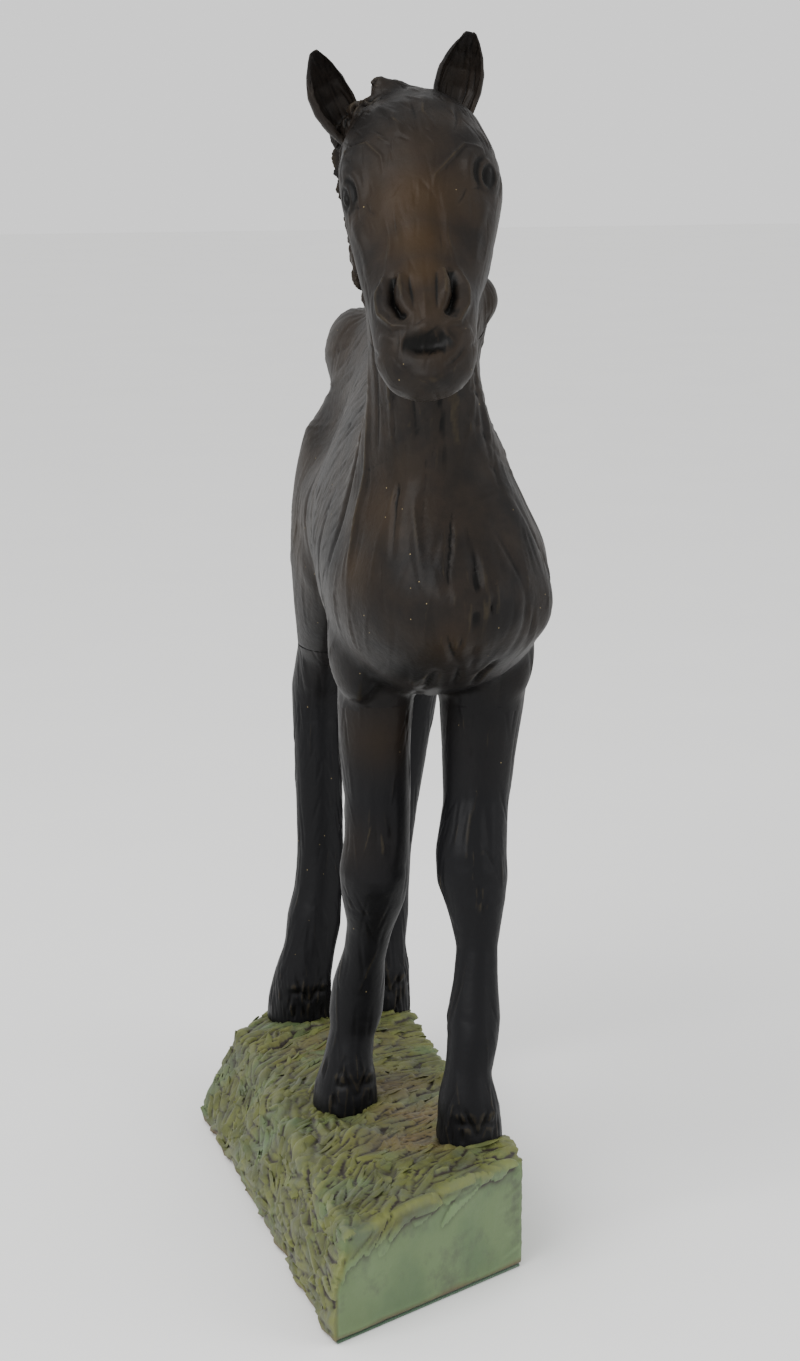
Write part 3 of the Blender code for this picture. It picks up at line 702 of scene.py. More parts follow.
marks = []
for hand, (place, look) in EYES.items():
    marks += [
        (ring(place, look, 6.6, 4.4, 0, 180), 1.5, 0.9),  # upper lid
        (ring(place, look, 6.2, 3.6, 215, 325), 1.1, 0.3),  # lower lid
        (ring(place, look, 8.8, 7.6, 50, 140), 1.6, -0.6),  # crease over the upper lid
        (ring(place, look, 11.5, 11.0, 40, 160), 3.0, 2.2),  # brow bone
        (ring(place, look, 9.2, 7.4, 235, 320), 1.4, -0.5),  # crease under the eye
        (ring(place, look, 4.8, 2.4, 0, 180), 0.9, -0.8),  # opening
        (ring(place, look, 4.8, 2.0, 180, 360), 0.9, -0.5),
        (
            [face(MID + 21 * hand, 13), face(MID + 19 * hand, 18), face(MID + 16 * hand, 22)],
            1.0,
            -0.6,
        ),
        # crest of the cheek and the long hollow above it
        (
            [
                face(MID + 27 * hand, 16, 8),
                face(MID + 23 * hand, 32, 8),
                face(MID + 20 * hand, 46, 6),
            ],
            2.4,
            1.1,
        ),
        ([face(MID + 8 * hand, 16), face(MID + 8 * hand, 34), face(MID + 9 * hand, 50)], 2.2, -0.7),
        (
            [face(MID + 12 * hand, 24), face(MID + 12 * hand, 38), face(MID + 15 * hand, 52)],
            1.1,
            0.6,
        ),
        # nostril: deep comma, its rim, and the fold inside it
        (
            [
                face(MID + 11.5 * hand, 54),
                face(MID + 13.6 * hand, 60),
                face(MID + 13.4 * hand, 67),
                face(MID + 11 * hand, 73),
                face(MID + 8 * hand, 76),
            ],
            1.9,
            -4.6,
        ),
        (
            [
                face(MID + 14 * hand, 52, 11),
                face(MID + 17.5 * hand, 60, 10),
                face(MID + 17 * hand, 70, 10),
                face(MID + 13 * hand, 78, 11),
                face(MID + 7 * hand, 80, 12),
            ],
            1.4,
            2.0,
        ),
        (
            [face(MID + 8.5 * hand, 53), face(MID + 9.3 * hand, 60), face(MID + 8.5 * hand, 67)],
            1.7,
            1.7,
        ),
        (
            [face(MID + 5.5 * hand, 55), face(MID + 5 * hand, 64), face(MID + 4.5 * hand, 74)],
            1.0,
            -0.9,
        ),
        # corner of the mouth and the line of the lips
        (
            [
                face(MID + 13 * hand, 88, 4),
                face(MID + 17 * hand, 82, 0),
                face(MID + 18 * hand, 75, -3),
            ],
            1.2,
            -0.8,
        ),
        ([face(MID + 12 * hand, 84, 9), face(MID + 16 * hand, 78, 4)], 1.6, 0.9),
        # edge of the jaw
        (
            [
                face(MID + 22 * hand, 48, -8),
                face(MID + 27 * hand, 34, -14),
                face(MID + 30 * hand, 14, -20),
            ],
            2.6,
            0.9,
        ),
    ]
marks += [
    ([face(MID, 56), face(MID, 66), face(MID, 78)], 1.5, 0.9),  # ridge between the nostrils
    ([face(MID - 2, 79), face(MID + 1, 84)], 3.0, 1.3),  # middle of the upper lip
    ([face(MID - 11, 86), face(MID - 4, 89), face(MID + 4, 89), face(MID + 9, 86)], 3.8, -2.6),
    ([face(MID + 5, 99, 8), face(MID + 11, 95, 8), face(MID + 15, 87, 6)], 1.3, -0.9),
    ([face(MID - 9, 98, 6), face(MID, 101, 5), face(MID + 9, 97, 5)], 2.6, 1.0),
    # thin raised edges of the brows, drawn with a wire
    ([face(-31, -6, 8), face(-26, -14, 12), face(-17, -13), face(-12, -5), face(-12, 3)], 0.8, 0.8),
    ([face(5, 14), face(6, 8), face(11, 1), face(18, -7), face(24, -6, 12)], 0.8, 0.8),
    # forelock
    ([face(-12, -32), face(-6, -22), face(-4, -12)], 1.8, 1.2),
    ([face(4, -33), face(3, -22), face(6, -14)], 1.6, 1.0),
    ([face(-1, -34), face(0, -24), face(1, -12)], 1.2, -0.9),
    ([face(14, -30, 10), face(16, -20), face(14, -12)], 1.4, -0.9),
]
strokes(head, marks)


def down_the_head(p):
    return DOWN


tool_marks(head, 11, 420, down_the_head, 9, 1.3, 0.22)
tool_marks(
    head,
    12,
    260,
    lambda p: DOWN + Vector((0.5, 0, 0.4)),
    6,
    1.1,
    0.45,
    lambda co: ((co - np.array(FACE)) @ np.array(DOWN) < -0.008),
)
# mane: ropy locks pressed down the right side of the crest
tool_marks(
    head,
    13,
    240,
    lambda p: Vector((-0.2, 0.35, -0.9)),
    9,
    1.5,
    1.7,
    lambda co: (co[:, 0] < -0.013) & (co[:, 1] > -0.098) & (co[:, 2] > 0.44),
)
chased(head, relief_for_wear_and_shade(head, "relief", 10))
# painted shade in the eye pockets under the brows, in the mouth and nostrils, and down the right of
# the mane
painted_shade_in_pockets(
    head,
    [(place * 1000, 7.5, 1.7) for place, look in EYES.values()]
    + [(face(MID + side, 88, 13) * 1000, 5.5, 1.0) for side in (-8, -2, 4, 9)]
    + [
        (face(MID + side * hand, down, 11) * 1000, 4.2, 1.0)
        for hand in (-1, 1)
        for side, down in ((12, 58), (13, 66), (10, 73))
    ]
    + [
        ((-26, -92, 492), 11, 0.9),
        ((-23, -86, 478), 11, 0.9),
        ((-19, -78, 466), 10, 0.9),
        ((-16, -70, 452), 10, 0.9),
    ],
)
trim(head, [away(THROAT)])
warmed(
    head,
    [
        (face(MID, 18), 17, 0.75),
        (face(MID, 38), 13, 0.75),
        (face(MID, 54), 11, 0.7),
        (face(MID + 1, 70), 12, 0.35),
        (face(MID, -4), 14, 0.35),
        (face(MID, 90), 10, 0.3),
    ],
)
finished(head, ["head"], dark_bronze)

# ---- Ears --------------------------------------------------------------------------------------
# Each ear is a cupped leaf of metal, cast by itself and set on the head with a peg. The left one
# stands up and the right one leans out, and the tool went down inside each.


def cupped_leaf(name, root, tip, opening, rows):
    """A cupped leaf: rows of share along it, half width, depth of the cup and wall, in mm."""
    root, tip = Vector(root) / 1000, Vector(tip) / 1000
    rise = (tip - root).normalized()
    opening = Vector(opening)
    opening = (opening - rise * opening.dot(rise)).normalized()
    beside = rise.cross(opening)
    arc = [math.radians(a) for a in range(-115, 116, 23)]
    built = bmesh.new()
    loops = []
    for share, half, depth, wall in rows:
        middle = root + (tip - root) * share - opening * 0.004 * math.sin(math.pi * share)
        outer = [(math.sin(a) * half, -math.cos(a) * depth) for a in arc]
        inner = [
            (x * (half - wall) / half, y + wall * (0.4 + 0.6 * math.cos(a)))
            for (x, y), a in zip(outer, arc)
        ]
        outline = outer + inner[::-1]
        places = [middle + (beside * x + opening * y) / 1000 for x, y in outline]
        loops.append([built.verts.new(place) for place in places])
    for low, high in zip(loops[:-1], loops[1:]):
        for i in range(len(low)):
            j = (i + 1) % len(low)
            built.faces.new((low[i], low[j], high[j], high[i]))
    half = len(arc)
    for loop in (loops[0], loops[-1]):
        for i in range(half - 1):
            built.faces.new((loop[i], loop[i + 1], loop[2 * half - 2 - i], loop[2 * half - 1 - i]))
    bmesh.ops.recalc_face_normals(built, faces=built.faces)
    mesh = bpy.data.meshes.new(name)
    built.to_mesh(mesh)
    built.free()
    leaf = bpy.data.objects.new(name, mesh)
    bpy.context.scene.collection.objects.link(leaf)
    return leaf


LEAF = (
    (0.00, 7.4, 5.5, 2.6),
    (0.18, 9.2, 6.6, 2.0),
    (0.38, 10.4, 6.6, 1.6),
    (0.58, 9.9, 5.6, 1.4),
    (0.76, 7.6, 4.0, 1.2),
    (0.90, 4.8, 2.2, 1.0),
    (1.00, 2.2, 1.2, 0.8),
)
EARS = {
    "left": ((19.5, -92, 500), (27.5, -98, 538), (-0.2, -1.0, 0.15)),
    "right": ((-19, -85, 495), (-38.5, -93, 530), (0.35, -1.0, 0.1)),
}
for hand, (root, tip, opening) in EARS.items():
    name = "ear_" + hand + "_cast"
    ear = cupped_leaf(name, root, tip, opening, LEAF)
    plug = pellet(Vector(root) + Vector((0, 1, 3)), (6.5, 6.0, 7.0))
    ear = merged(name, [ear, plug])
    modify(ear, "REMESH", mode="VOXEL", voxel_size=0.00045)
    ear = outer_skin(ear)
    set_points(ear, eased(points_of(ear), edges_of(ear), 8))
    rise = (Vector(tip) - Vector(root)).normalized()
    tool_marks(ear, 21, 70, lambda p, rise=rise: rise, 12, 1.2, 0.4)
    relief_for_wear_and_shade(ear, "relief", 10)
    inside = Vector(opening) * 2
    # painted shade inside the cup of the ear
    painted_shade_in_pockets(
        ear,
        [(Vector(root).lerp(Vector(tip), share) + inside, 6.5, 0.9) for share in (0.2, 0.45, 0.7)],
    )
    warmed(ear, [])
    finished(ear, ["ear_" + hand], dark_bronze)

# ---- Neck --------------------------------------------------------------------------------------
# The neck casting joins the head at the throat and the torso above the shoulders. Its right side
# is drawn with long wiry strokes that run on into the shoulder.
neck = slice_of(foal, "neck_cast", [THROAT, away(NECK_BASE)], mm(10, -75, 440), 0.0009)
set_points(neck, eased(points_of(neck), edges_of(neck), 4))


def down_the_neck(p):
    return Vector((0.12, 0.1 if p[1] > -0.09 else -0.25, -1))


NECK_LINES = [
    # windpipe and the long muscles, from the throat to the breast
    ([mm(2, -112, 440), mm(8, -108, 415), mm(12, -112, 385), mm(14, -118, 352)], 2.4, -1.4),
    ([mm(14, -112, 440), mm(18, -110, 415), mm(22, -112, 385), mm(25, -120, 350)], 3.0, 1.2),
    ([mm(-8, -92, 450), mm(-6, -94, 425), mm(-4, -98, 396), mm(-2, -104, 362)], 1.6, -1.2),
    ([mm(-12, -84, 452), mm(-11, -84, 425), mm(-12, -86, 398), mm(-13, -88, 366)], 1.3, 1.0),
    ([mm(-14, -76, 445), mm(-14, -74, 420), mm(-17, -74, 395), mm(-19, -76, 362)], 1.4, -1.1),
    ([mm(30, -98, 430), mm(36, -96, 405), mm(42, -96, 378), mm(48, -98, 350)], 2.4, -1.0),
]
strokes(neck, NECK_LINES)
tool_marks(neck, 31, 520, down_the_neck, 16, 1.3, 0.34)
tool_marks(
    neck,
    32,
    150,
    lambda p: Vector((-0.2, 0.35, -0.9)),
    11,
    1.6,
    1.2,
    lambda co: (co[:, 0] < -0.005) & (co[:, 1] > -0.072) & (co[:, 2] > 0.425),
)
chased(neck, relief_for_wear_and_shade(neck, "relief", 8))
trim(neck, [THROAT, away(NECK_BASE)])
warmed(neck, [(mm(-18, -60, 400), 22, 0.3)])
finished(neck, ["neck"], dark_bronze)

# ---- Torso -------------------------------------------------------------------------------------
# The torso is the largest casting, hollow, with a bronze plug in each of the two core holes under
# the belly. Broad planes of the shoulder and breast, with creases where the masses meet.
torso = slice_of(foal, "torso_cast", [NECK_BASE, FORE_ELBOW], mm(25, 50, 330), 0.00142)
set_points(torso, eased(points_of(torso), edges_of(torso), 3))
BODY_LINES = [
    # edge of the right shoulder blade, then down over the point of the shoulder
    (
        [
            mm(-12, -60, 405),
            mm(-21, -62, 380),
            mm(-24, -66, 350),
            mm(-22, -72, 318),
            mm(-16, -78, 290),
        ],
        2.0,
        1.4,
    ),
    ([mm(-20, -44, 396), mm(-26, -44, 368), mm(-28, -44, 338), mm(-24, -44, 306)], 2.4, -1.8),
    ([mm(-8, -84, 380), mm(-10, -92, 350), mm(-8, -100, 320)], 1.4, -1.2),
    ([mm(-2, -96, 372), mm(0, -104, 340), mm(4, -112, 306)], 2.2, 1.0),
    # furrow down the breast and the creases either side
    ([mm(24, -122, 345), mm(25, -124, 320), mm(25, -122, 296), mm(24, -112, 272)], 2.2, -2.0),
    ([mm(17, -118, 350), mm(14, -120, 330), mm(12, -118, 306)], 1.0, -1.2),
    ([mm(33, -118, 318), mm(32, -122, 300), mm(30, -118, 282)], 1.1, -1.3),
    ([mm(12, -118, 290), mm(15, -116, 276), mm(20, -110, 266)], 1.6, -1.2),
    ([mm(40, -114, 340), mm(47, -112, 318), mm(50, -112, 296), mm(46, -108, 272)], 2.2, -1.4),
    ([mm(56, -96, 350), mm(64, -90, 324), mm(68, -84, 300), mm(64, -80, 276)], 2.0, -1.3),
    ([mm(60, -80, 366), mm(70, -74, 336), mm(74, -68, 306)], 2.6, 1.0),
    # fold between forearm and breast, each side
    ([mm(38, -100, 276), mm(36, -92, 262), mm(36, -80, 250)], 1.6, -2.2),
    ([mm(14, -96, 274), mm(14, -84, 260), mm(14, -70, 250)], 1.6, -2.0),
    ([mm(22, -104, 268), mm(24, -96, 258), mm(26, -84, 250)], 1.4, -1.6),
    # girth behind the elbow, flank, and the line of the last rib
    ([mm(66, -12, 330), mm(70, -12, 300), mm(64, -10, 268)], 3.0, -1.6),
    ([mm(-16, -8, 330), mm(-19, -8, 300), mm(-13, -6, 268)], 3.0, -1.6),
    ([mm(74, 82, 340), mm(76, 92, 312), mm(72, 96, 284)], 2.4, -1.4),
    ([mm(-4, 82, 340), mm(-6, 92, 312), mm(-2, 96, 284)], 2.4, -1.4),
    # haunch: groove between the two thigh muscles, each side
    ([mm(62, 170, 372), mm(74, 172, 338), mm(76, 168, 300), mm(76, 166, 264)], 2.2, -1.3),
    ([mm(24, 172, 372), mm(8, 172, 338), mm(4, 168, 300), mm(5, 166, 264)], 2.2, -1.3),
    ([mm(44, 182, 374), mm(44, 190, 340), mm(44, 188, 300)], 1.8, -1.8),
    # spine
    ([mm(24, -30, 424), mm(30, 40, 410), mm(36, 110, 410), mm(42, 168, 398)], 3.2, 0.9),
]
for rib in range(6):
    back = 4 + rib * 12
    BODY_LINES += [
        ([mm(72, back, 336), mm(74, back + 8, 306), mm(66, back + 14, 278)], 2.6, 0.5),
        ([mm(-14, back, 336), mm(-17, back + 8, 306), mm(-8, back + 14, 278)], 2.6, 0.5),
    ]
strokes(torso, BODY_LINES + NECK_LINES)


def down_the_body(p):
    x, y, z = p
    if y < -0.045:  # breast and shoulder
        return Vector(((x - 0.024) * 3, -0.2 if z > 0.3 else 0.35, -1))
    if y < 0.1:  # ribs
        return Vector((0, 0.75, -0.7))
    return Vector((0, 0.45, -0.9))


def coat_of(p):
    return Vector((0, 1, -0.45))


tool_marks(torso, 41, 900, down_the_body, 22, 1.9, 0.42)
tool_marks(torso, 42, 300, coat_of, 30, 2.2, 0.4, lambda co: co[:, 2] > 0.345)
trim(torso, [NECK_BASE])
# the fore and hind sections of the underside end at different heights
for cut_at, low, high in ((FORE_ELBOW, -0.2, 0.06), (GASKIN, 0.06, 0.3)):
    deselect()
    bpy.ops.mesh.primitive_cube_add(size=1, location=(0.03, (low + high) / 2, cut_at[0].z - 0.02))
    knife = bpy.context.object
    knife.dimensions = (0.4, high - low, 0.04)
    bpy.ops.object.transform_apply(location=True, rotation=True, scale=True)
    modify(torso, "BOOLEAN", operation="DIFFERENCE", solver="MANIFOLD", object=knife)
    bpy.data.objects.remove(knife)
torso = outer_skin(torso)
torso.name = "torso_cast"
for plug_name in ("core_plug_1", "core_plug_2"):
    low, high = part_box(plug_name)
    deselect()
    bpy.ops.mesh.primitive_cylinder_add(
        vertices=40,
        radius=(high.x - low.x) / 2 + 0.0003,
        depth=0.016,
        location=((low.x + high.x) / 2, (low.y + high.y) / 2, high.z + 0.0003 - 0.008),
    )
    drill = bpy.context.object
    bpy.ops.object.transform_apply(location=True, rotation=True, scale=True)
    modify(torso, "BOOLEAN", operation="DIFFERENCE", solver="MANIFOLD", object=drill)
    bpy.data.objects.remove(drill)
chased(torso, relief_for_wear_and_shade(torso, "relief", 7))
warmed(
    torso,
    [
        (mm(-16, -82, 340), 17, 0.5),
        (mm(-17, -80, 312), 13, 0.45),
        (mm(-22, -30, 378), 24, 0.4),
        (mm(-4, 120, 300), 26, 0.3),
        (mm(6, 120, 392), 26, 0.35),
        (mm(16, -116, 282), 14, 0.3),
    ],
)
finished(torso, ["torso"], dark_bronze)
for plug_name in ("core_plug_1", "core_plug_2"):
    plug = frame["nodes"][plug_name]
    for slot in plug.material_slots:
        slot.material = dark_bronze

# ---- Legs --------------------------------------------------------------------------------------
# Four cast legs, each joined to the torso by a spigot: bony knees and hocks, tendons behind the
# cannon bones, tufted fetlocks, and hooves half sunk in the turf, creased where the horn starts.
# name: cut, middle, knee or hock, fetlock, coronet and toe, in mm
LEGS = {
    "front_left": (
        FORE_ELBOW,
        mm(42, -48, 150),
        (41.7, -56, 164),
        (38, -71, 99),
        (34, -79, 64),
        (35, -88, 50),
    ),
    "front_right": (
        FORE_ELBOW,
        mm(2, -14, 150),
        (2.7, -28, 163),
        (0, -6, 96),
        (-4, -6, 62),
        (-6, -14, 47),
    ),
    "hind_left": (
        GASKIN,
        mm(60, 162, 130),
        (69, 168, 200),
        (53, 159, 94),
        (51, 152, 60),
        (50, 140, 40),
    ),
    "hind_right": (
        GASKIN,
        mm(15, 158, 130),
        (20, 168, 200),
        (14, 152, 96),
        (7, 146, 60),
        (6.5, 138, 40),
    ),
}


def down_the_leg(p):
    return Vector((0, 0, -1))


for number, (leg_name, (cut_at, middle, joint, fetlock, coronet, toe)) in enumerate(LEGS.items()):
    half = MID_BARREL if "front" in leg_name else away(MID_BARREL)
    leg = slice_of(foal, "leg_" + leg_name + "_cast", [away(cut_at), half], middle, 0.00085)
    set_points(leg, eased(points_of(leg), edges_of(leg), 3))
    x, y, z = joint
    wide = 15 if "front" in leg_name else 13
    lines = [
        # knee or hock: bony edges with hollows between them
        (
            [
                mm(x - wide, y - 4, z + 12),
                mm(x - 6, y - 14, z + 15),
                mm(x + 6, y - 14, z + 15),
                mm(x + wide, y - 4, z + 12),
            ],
            3.2,
            0.45,
        ),
        (
            [
                mm(x - wide, y - 4, z + 3),
                mm(x - 5, y - 15, z + 1),
                mm(x + 6, y - 15, z + 2),
                mm(x + wide, y - 4, z + 4),
            ],
            2.4,
            -0.35,
        ),
        (
            [
                mm(x - wide, y - 4, z - 9),
                mm(x - 4, y - 14, z - 8),
                mm(x + 6, y - 14, z - 8),
                mm(x + wide, y - 4, z - 9),
            ],
            3.0,
            0.4,
        ),
        ([mm(x - wide, y, z - 17), mm(x - 4, y - 12, z - 24)], 1.8, -0.5),
        (
            [mm(x + 5, y - 14, z + 40), mm(x + 6, y - 14, z + 22), mm(x + 4, y - 15, z + 8)],
            2.2,
            -0.7,
        ),
        (
            [mm(x - 7, y - 14, z + 44), mm(x - 8, y - 14, z + 26), mm(x - 8, y - 14, z + 12)],
            1.8,
            0.7,
        ),
    ]
    fx, fy, fz = fetlock
    lines += [
        # tendons down the back of the cannon bone, and a groove in front of them
        (
            [
                mm(x, y + 16, z - 12),
                mm((x + fx) / 2, (y + fy) / 2 + 14, (z + fz) / 2),
                mm(fx, fy + 15, fz + 10),
            ],
            2.4,
            1.2,
        ),
        (
            [
                mm(x - 11, y + 7, z - 16),
                mm((x + fx) / 2 - 9, (y + fy) / 2 + 6, (z + fz) / 2),
                mm(fx - 11, fy + 6, fz + 10),
            ],
            1.5,
            -0.9,
        ),
        (
            [
                mm(x + 11, y + 7, z - 16),
                mm((x + fx) / 2 + 9, (y + fy) / 2 + 6, (z + fz) / 2),
                mm(fx + 11, fy + 6, fz + 10),
            ],
            1.5,
            -0.9,
        ),
        # fetlock
        ([mm(fx - 12, fy, fz + 9), mm(fx - 2, fy - 12, fz + 5)], 2.0, -0.4),
        ([mm(fx, fy - 12, fz - 8), mm(fx + 12, fy, fz - 9)], 1.8, -0.5),
        ([mm(fx - 6, fy + 15, fz), mm(fx, fy + 17, fz - 6), mm(fx + 6, fy + 15, fz)], 3.0, 1.4),
    ]
    cx, cy, cz = coronet
    tx, ty, tz = toe
    lines += [
        # coronet: a rough band, then the V where the tool drew the front of the hoof
        (
            [
                mm(cx - 14, cy + 6, cz),
                mm(cx - 8, cy - 12, cz + 1),
                mm(cx + 8, cy - 12, cz + 1),
                mm(cx + 14, cy + 6, cz),
            ],
            1.8,
            0.7,
        ),
        (
            [
                mm(cx - 14, cy + 6, cz - 4),
                mm(cx - 8, cy - 14, cz - 3),
                mm(cx + 8, cy - 14, cz - 3),
                mm(cx + 14, cy + 6, cz - 4),
            ],
            1.4,
            -0.9,
        ),
        ([mm(cx - 7, cy - 14, cz + 4), mm(cx, cy - 16, cz - 9)], 1.2, -1.2),
        ([mm(cx + 8, cy - 14, cz + 4), mm(cx + 1, cy - 16, cz - 8)], 1.1, -1.4),
        ([mm(tx - 11, ty - 6, tz + 9), mm(tx - 12, ty - 8, tz + 2)], 1.2, -0.8),
        ([mm(tx + 11, ty - 6, tz + 9), mm(tx + 12, ty - 8, tz + 2)], 1.2, -0.8),
    ]
    strokes(leg, lines)
    tool_marks(leg, 50 + number, 320, down_the_leg, 15, 1.6, 0.36)
    tool_marks(
        leg,
        60 + number,
        90,
        down_the_leg,
        8,
        1.6,
        0.7,
        lambda co, c=cz: co[:, 2] < (c + 8) / 1000,
    )
    relief_for_wear_and_shade(leg, "relief", 8)
    trim(leg, [away(cut_at)], 0.0025)
    leg = keep_near(leg, middle, leg.name)
    warmed(
        leg,
        [
            (mm(4, -32, 228), 14, 0.35),
            (mm(-2, -26, 176), 12, 0.25),
        ] if leg_name == "front_right" else [],
    )
    finished(leg, ["leg_" + leg_name], dark_bronze)

# ---- Tail --------------------------------------------------------------------------------------
# A short foal's tail, cast by itself and pinned in the dock, modelled as a few twisted locks.
tail = copy_of("tail")
tail.name = "tail_cast"
modify(tail, "REMESH", mode="VOXEL", voxel_size=0.0009)
tail = outer_skin(tail)
set_points(tail, eased(points_of(tail), edges_of(tail), 10))
strokes(
    tail,
    [
        ([mm(40, 176, 372), mm(38, 190, 345), mm(40, 194, 310), mm(42, 192, 270)], 1.4, -1.8),
        ([mm(48, 176, 372), mm(51, 190, 345), mm(48, 194, 310), mm(45, 192, 270)], 1.4, -1.8),
        ([mm(44, 182, 374), mm(45, 196, 345), mm(44, 197, 310), mm(44, 194, 265)], 2.2, 1.4),
        ([mm(36, 190, 330), mm(40, 196, 300), mm(44, 192, 270)], 1.1, -1.2),
    ],
)
tool_marks(tail, 71, 220, lambda p: Vector((0.15 if p[2] > 0.31 else -0.2, 0.1, -1)), 22, 1.3, 0.7)
relief_for_wear_and_shade(tail, "relief", 8)
warmed(tail, [])
finished(tail, ["tail"], dark_bronze)
bpy.data.objects.remove(foal)

# ---- Plinth ------------------------------------------------------------------------------------
# A hollow block of bronze cast with the foal's ground on it: rough turf pressed on in overlapping
# flakes over the top, the bank and the near half of the front, and cut smooth on the right.
plinth = copy_of("plinth_shell")
plinth.name = "plinth_cast"
modify(plinth, "REMESH", mode="VOXEL", voxel_size=0.00105)
set_points(plinth, eased(points_of(plinth), edges_of(plinth), 3))
co, no = points_of(plinth), normals_of(plinth)
near_corner = co[co[:, 1].argmin()]
FRONT_LOOK = np.array([0.55, -0.835, 0.0])  # the front faces forward and to the foal's left
FRONT_RUN = np.array([0.835, 0.55, 0.0])
PLINTH_SKIN = BVHTree.FromPolygons(co.tolist(), [tuple(p.vertices) for p in plinth.data.polygons])


def inside_of(co, no):
    """Which points belong to the block's hollow."""
    hidden = np.zeros(len(co), bool)
    for i, (p, n) in enumerate(zip(co, no)):
        if n[2] < -0.4:
            hidden[i] = p[2] > 0.003
        else:
            hidden[i] = PLINTH_SKIN.ray_cast(Vector(p + n * 0.002), Vector(n))[0] is not None
    return hidden


hidden = inside_of(co, no)
front = no @ FRONT_LOOK > 0.6
rightward = no[:, 0] > 0.75
run = (co - near_corner) @ FRONT_RUN * 1000  # along the front, from the near corner, in mm
drop = (0.05 - co[:, 2]) * 1000
rough = np.ones(len(co))
rough[front] = np.clip(1.05 - np.maximum(drop - 4 + run * 0.16, 0)[front] / 15, 0.0, 1)
rough[rightward] = np.clip(0.75 - drop[rightward] / 14, 0.06, 1)
rough[hidden | (no[:, 2] < -0.6)] = 0
rough = np.clip(eased(rough, edges_of(plinth), 10), 0, 1)
rough[hidden] = 0

# mounds, hollows and tufts: place, reach and height in mm
swell(
    plinth,
    [
        ((-15, -58, 48), 11, 5.5),
        ((-22, -86, 42), 13, 3.5),
        ((-36, -70, 34), 12, 2.5),
        ((47, 12, 48), 5, 6.5),
        ((22, -27, 50), 5, -4.5),
        ((-9, 103, 42), 5, -5.0),
        ((10, -60, 50), 14, -2.0),
        ((14, 40, 47), 22, 2.5),
        ((-30, 20, 36), 24, 3.0),
        ((-38, 60, 30), 16, -2.0),
        ((24, 100, 44), 18, 2.0),
        ((34, -100, 50), 9, 1.8),
        ((45, 150, 40), 14, 2.5),
        ((8, -120, 46), 12, 2.2),
        ((-30, -130, 36), 14, 2.0),
        ((-44, -20, 22), 14, 2.5),
        ((-45, -110, 20), 16, 2.0),
    ],
)


def lie(p, n):
    """The way the turf was pressed on, at a place with a normal."""
    x, y = p[0] * 1000, p[1] * 1000
    if n @ FRONT_LOOK > 0.6:
        return FRONT_RUN * 0.82 + np.array([0, 0, 0.57])
    bank = np.clip((12 - x) / 40, 0, 1)
    behind = np.clip((y - 10) / 80, 0, 1)
    turn = math.radians(34 - 24 * behind + 34 * bank + 10 * math.sin(x * 0.13 + y * 0.07))
    return np.array([math.cos(turn), math.sin(turn), 0.0])


PRESSED_FLAKES = 1700
LOOSE_FLAKES = 300
TURF_TALLEST = 4.4  # mm above the ground


def turf(obj, seed, count, rough):
    """Presses on flakes in turn, each laid over what is already there."""
    rng = np.random.default_rng(seed)
    co, no = points_of(obj), normals_of(obj)
    pile = np.zeros(len(co))
    within = finder(co)
    chance = rough / rough.sum()
    for start in rng.choice(len(co), count, p=chance):
        p, n, share = co[start], no[start], rough[start]
        ahead = lie(p, n) + rng.normal(0, 0.24, 3)
        ahead -= n * (ahead @ n)
        ahead /= np.linalg.norm(ahead)
        beside = np.cross(n, ahead)
        long = rng.uniform(6, 17) / 1000
        wide = rng.uniform(1.8, 4.4) / 1000
        near = within(p, long * 1.1)
        offset = co[near] - p
        u, v = offset @ ahead / long, offset @ beside / wide
        v = v + rng.uniform(-0.5, 0.5) * u**2
        taper = np.sqrt(np.clip(1 - u**2, 0, 1))
        inside = (np.abs(u) < 1) & (np.abs(v) < taper) & (no[near] @ n > 0.25)
        here = pile[start]
        rise = here * 0.72 + (0.35 + 0.55 * (u + 1) / 2) * rng.uniform(1.2, 3.0) * share
        edge = 0.62 + 0.38 * (1 - np.abs(v) / np.maximum(taper, 1e-3))
        pile[near] = np.where(inside, np.maximum(pile[near] * 0.55, rise * edge), pile[near])
    pile = np.minimum(pile, TURF_TALLEST)
    raised = co + no * pile[:, None] / 1000
    raised[:, 2] = np.maximum(raised[:, 2], co[:, 2].min())
    set_points(obj, raised)
    return pile


turf(plinth, 81, PRESSED_FLAKES, rough)


def down_the_face(p):
    return Vector((0.835, 0.55, 0.15))


tool_marks(
    plinth,
    82,
    260,
    down_the_face,
    16,
    2.4,
    0.22,
    lambda co: (rough > 0.02) & (rough < 0.45),
)
relief_for_wear_and_shade(plinth, "relief", 9)
store(plinth, "turf", rough)
# where the ground is bare and sandy, between the hooves: place, reach in mm and how much
SANDY = (
    ((12, -70, 50), 24, 0.9),
    ((22, -34, 50), 22, 0.9),
    ((18, 10, 48), 26, 0.7),
    ((10, 90, 44), 34, 0.5),
)


def sanded(obj, places):
    co = points_of(obj) * 1000
    sandy = np.zeros(len(co))
    for place, reach, share in places:
        away_mm = np.linalg.norm(co - np.array(place), axis=1)
        sandy = np.maximum(sandy, share * np.exp(-((away_mm / reach) ** 2)))
    store(obj, "sandy", sandy)


sanded(plinth, SANDY)
inner = plinth.vertex_groups.new(name="inner")
inner.add([int(i) for i in np.flatnonzero(hidden)], 1.0, "REPLACE")
modify(plinth, "DECIMATE", ratio=0.62, vertex_group="inner", vertex_group_factor=1000.0)

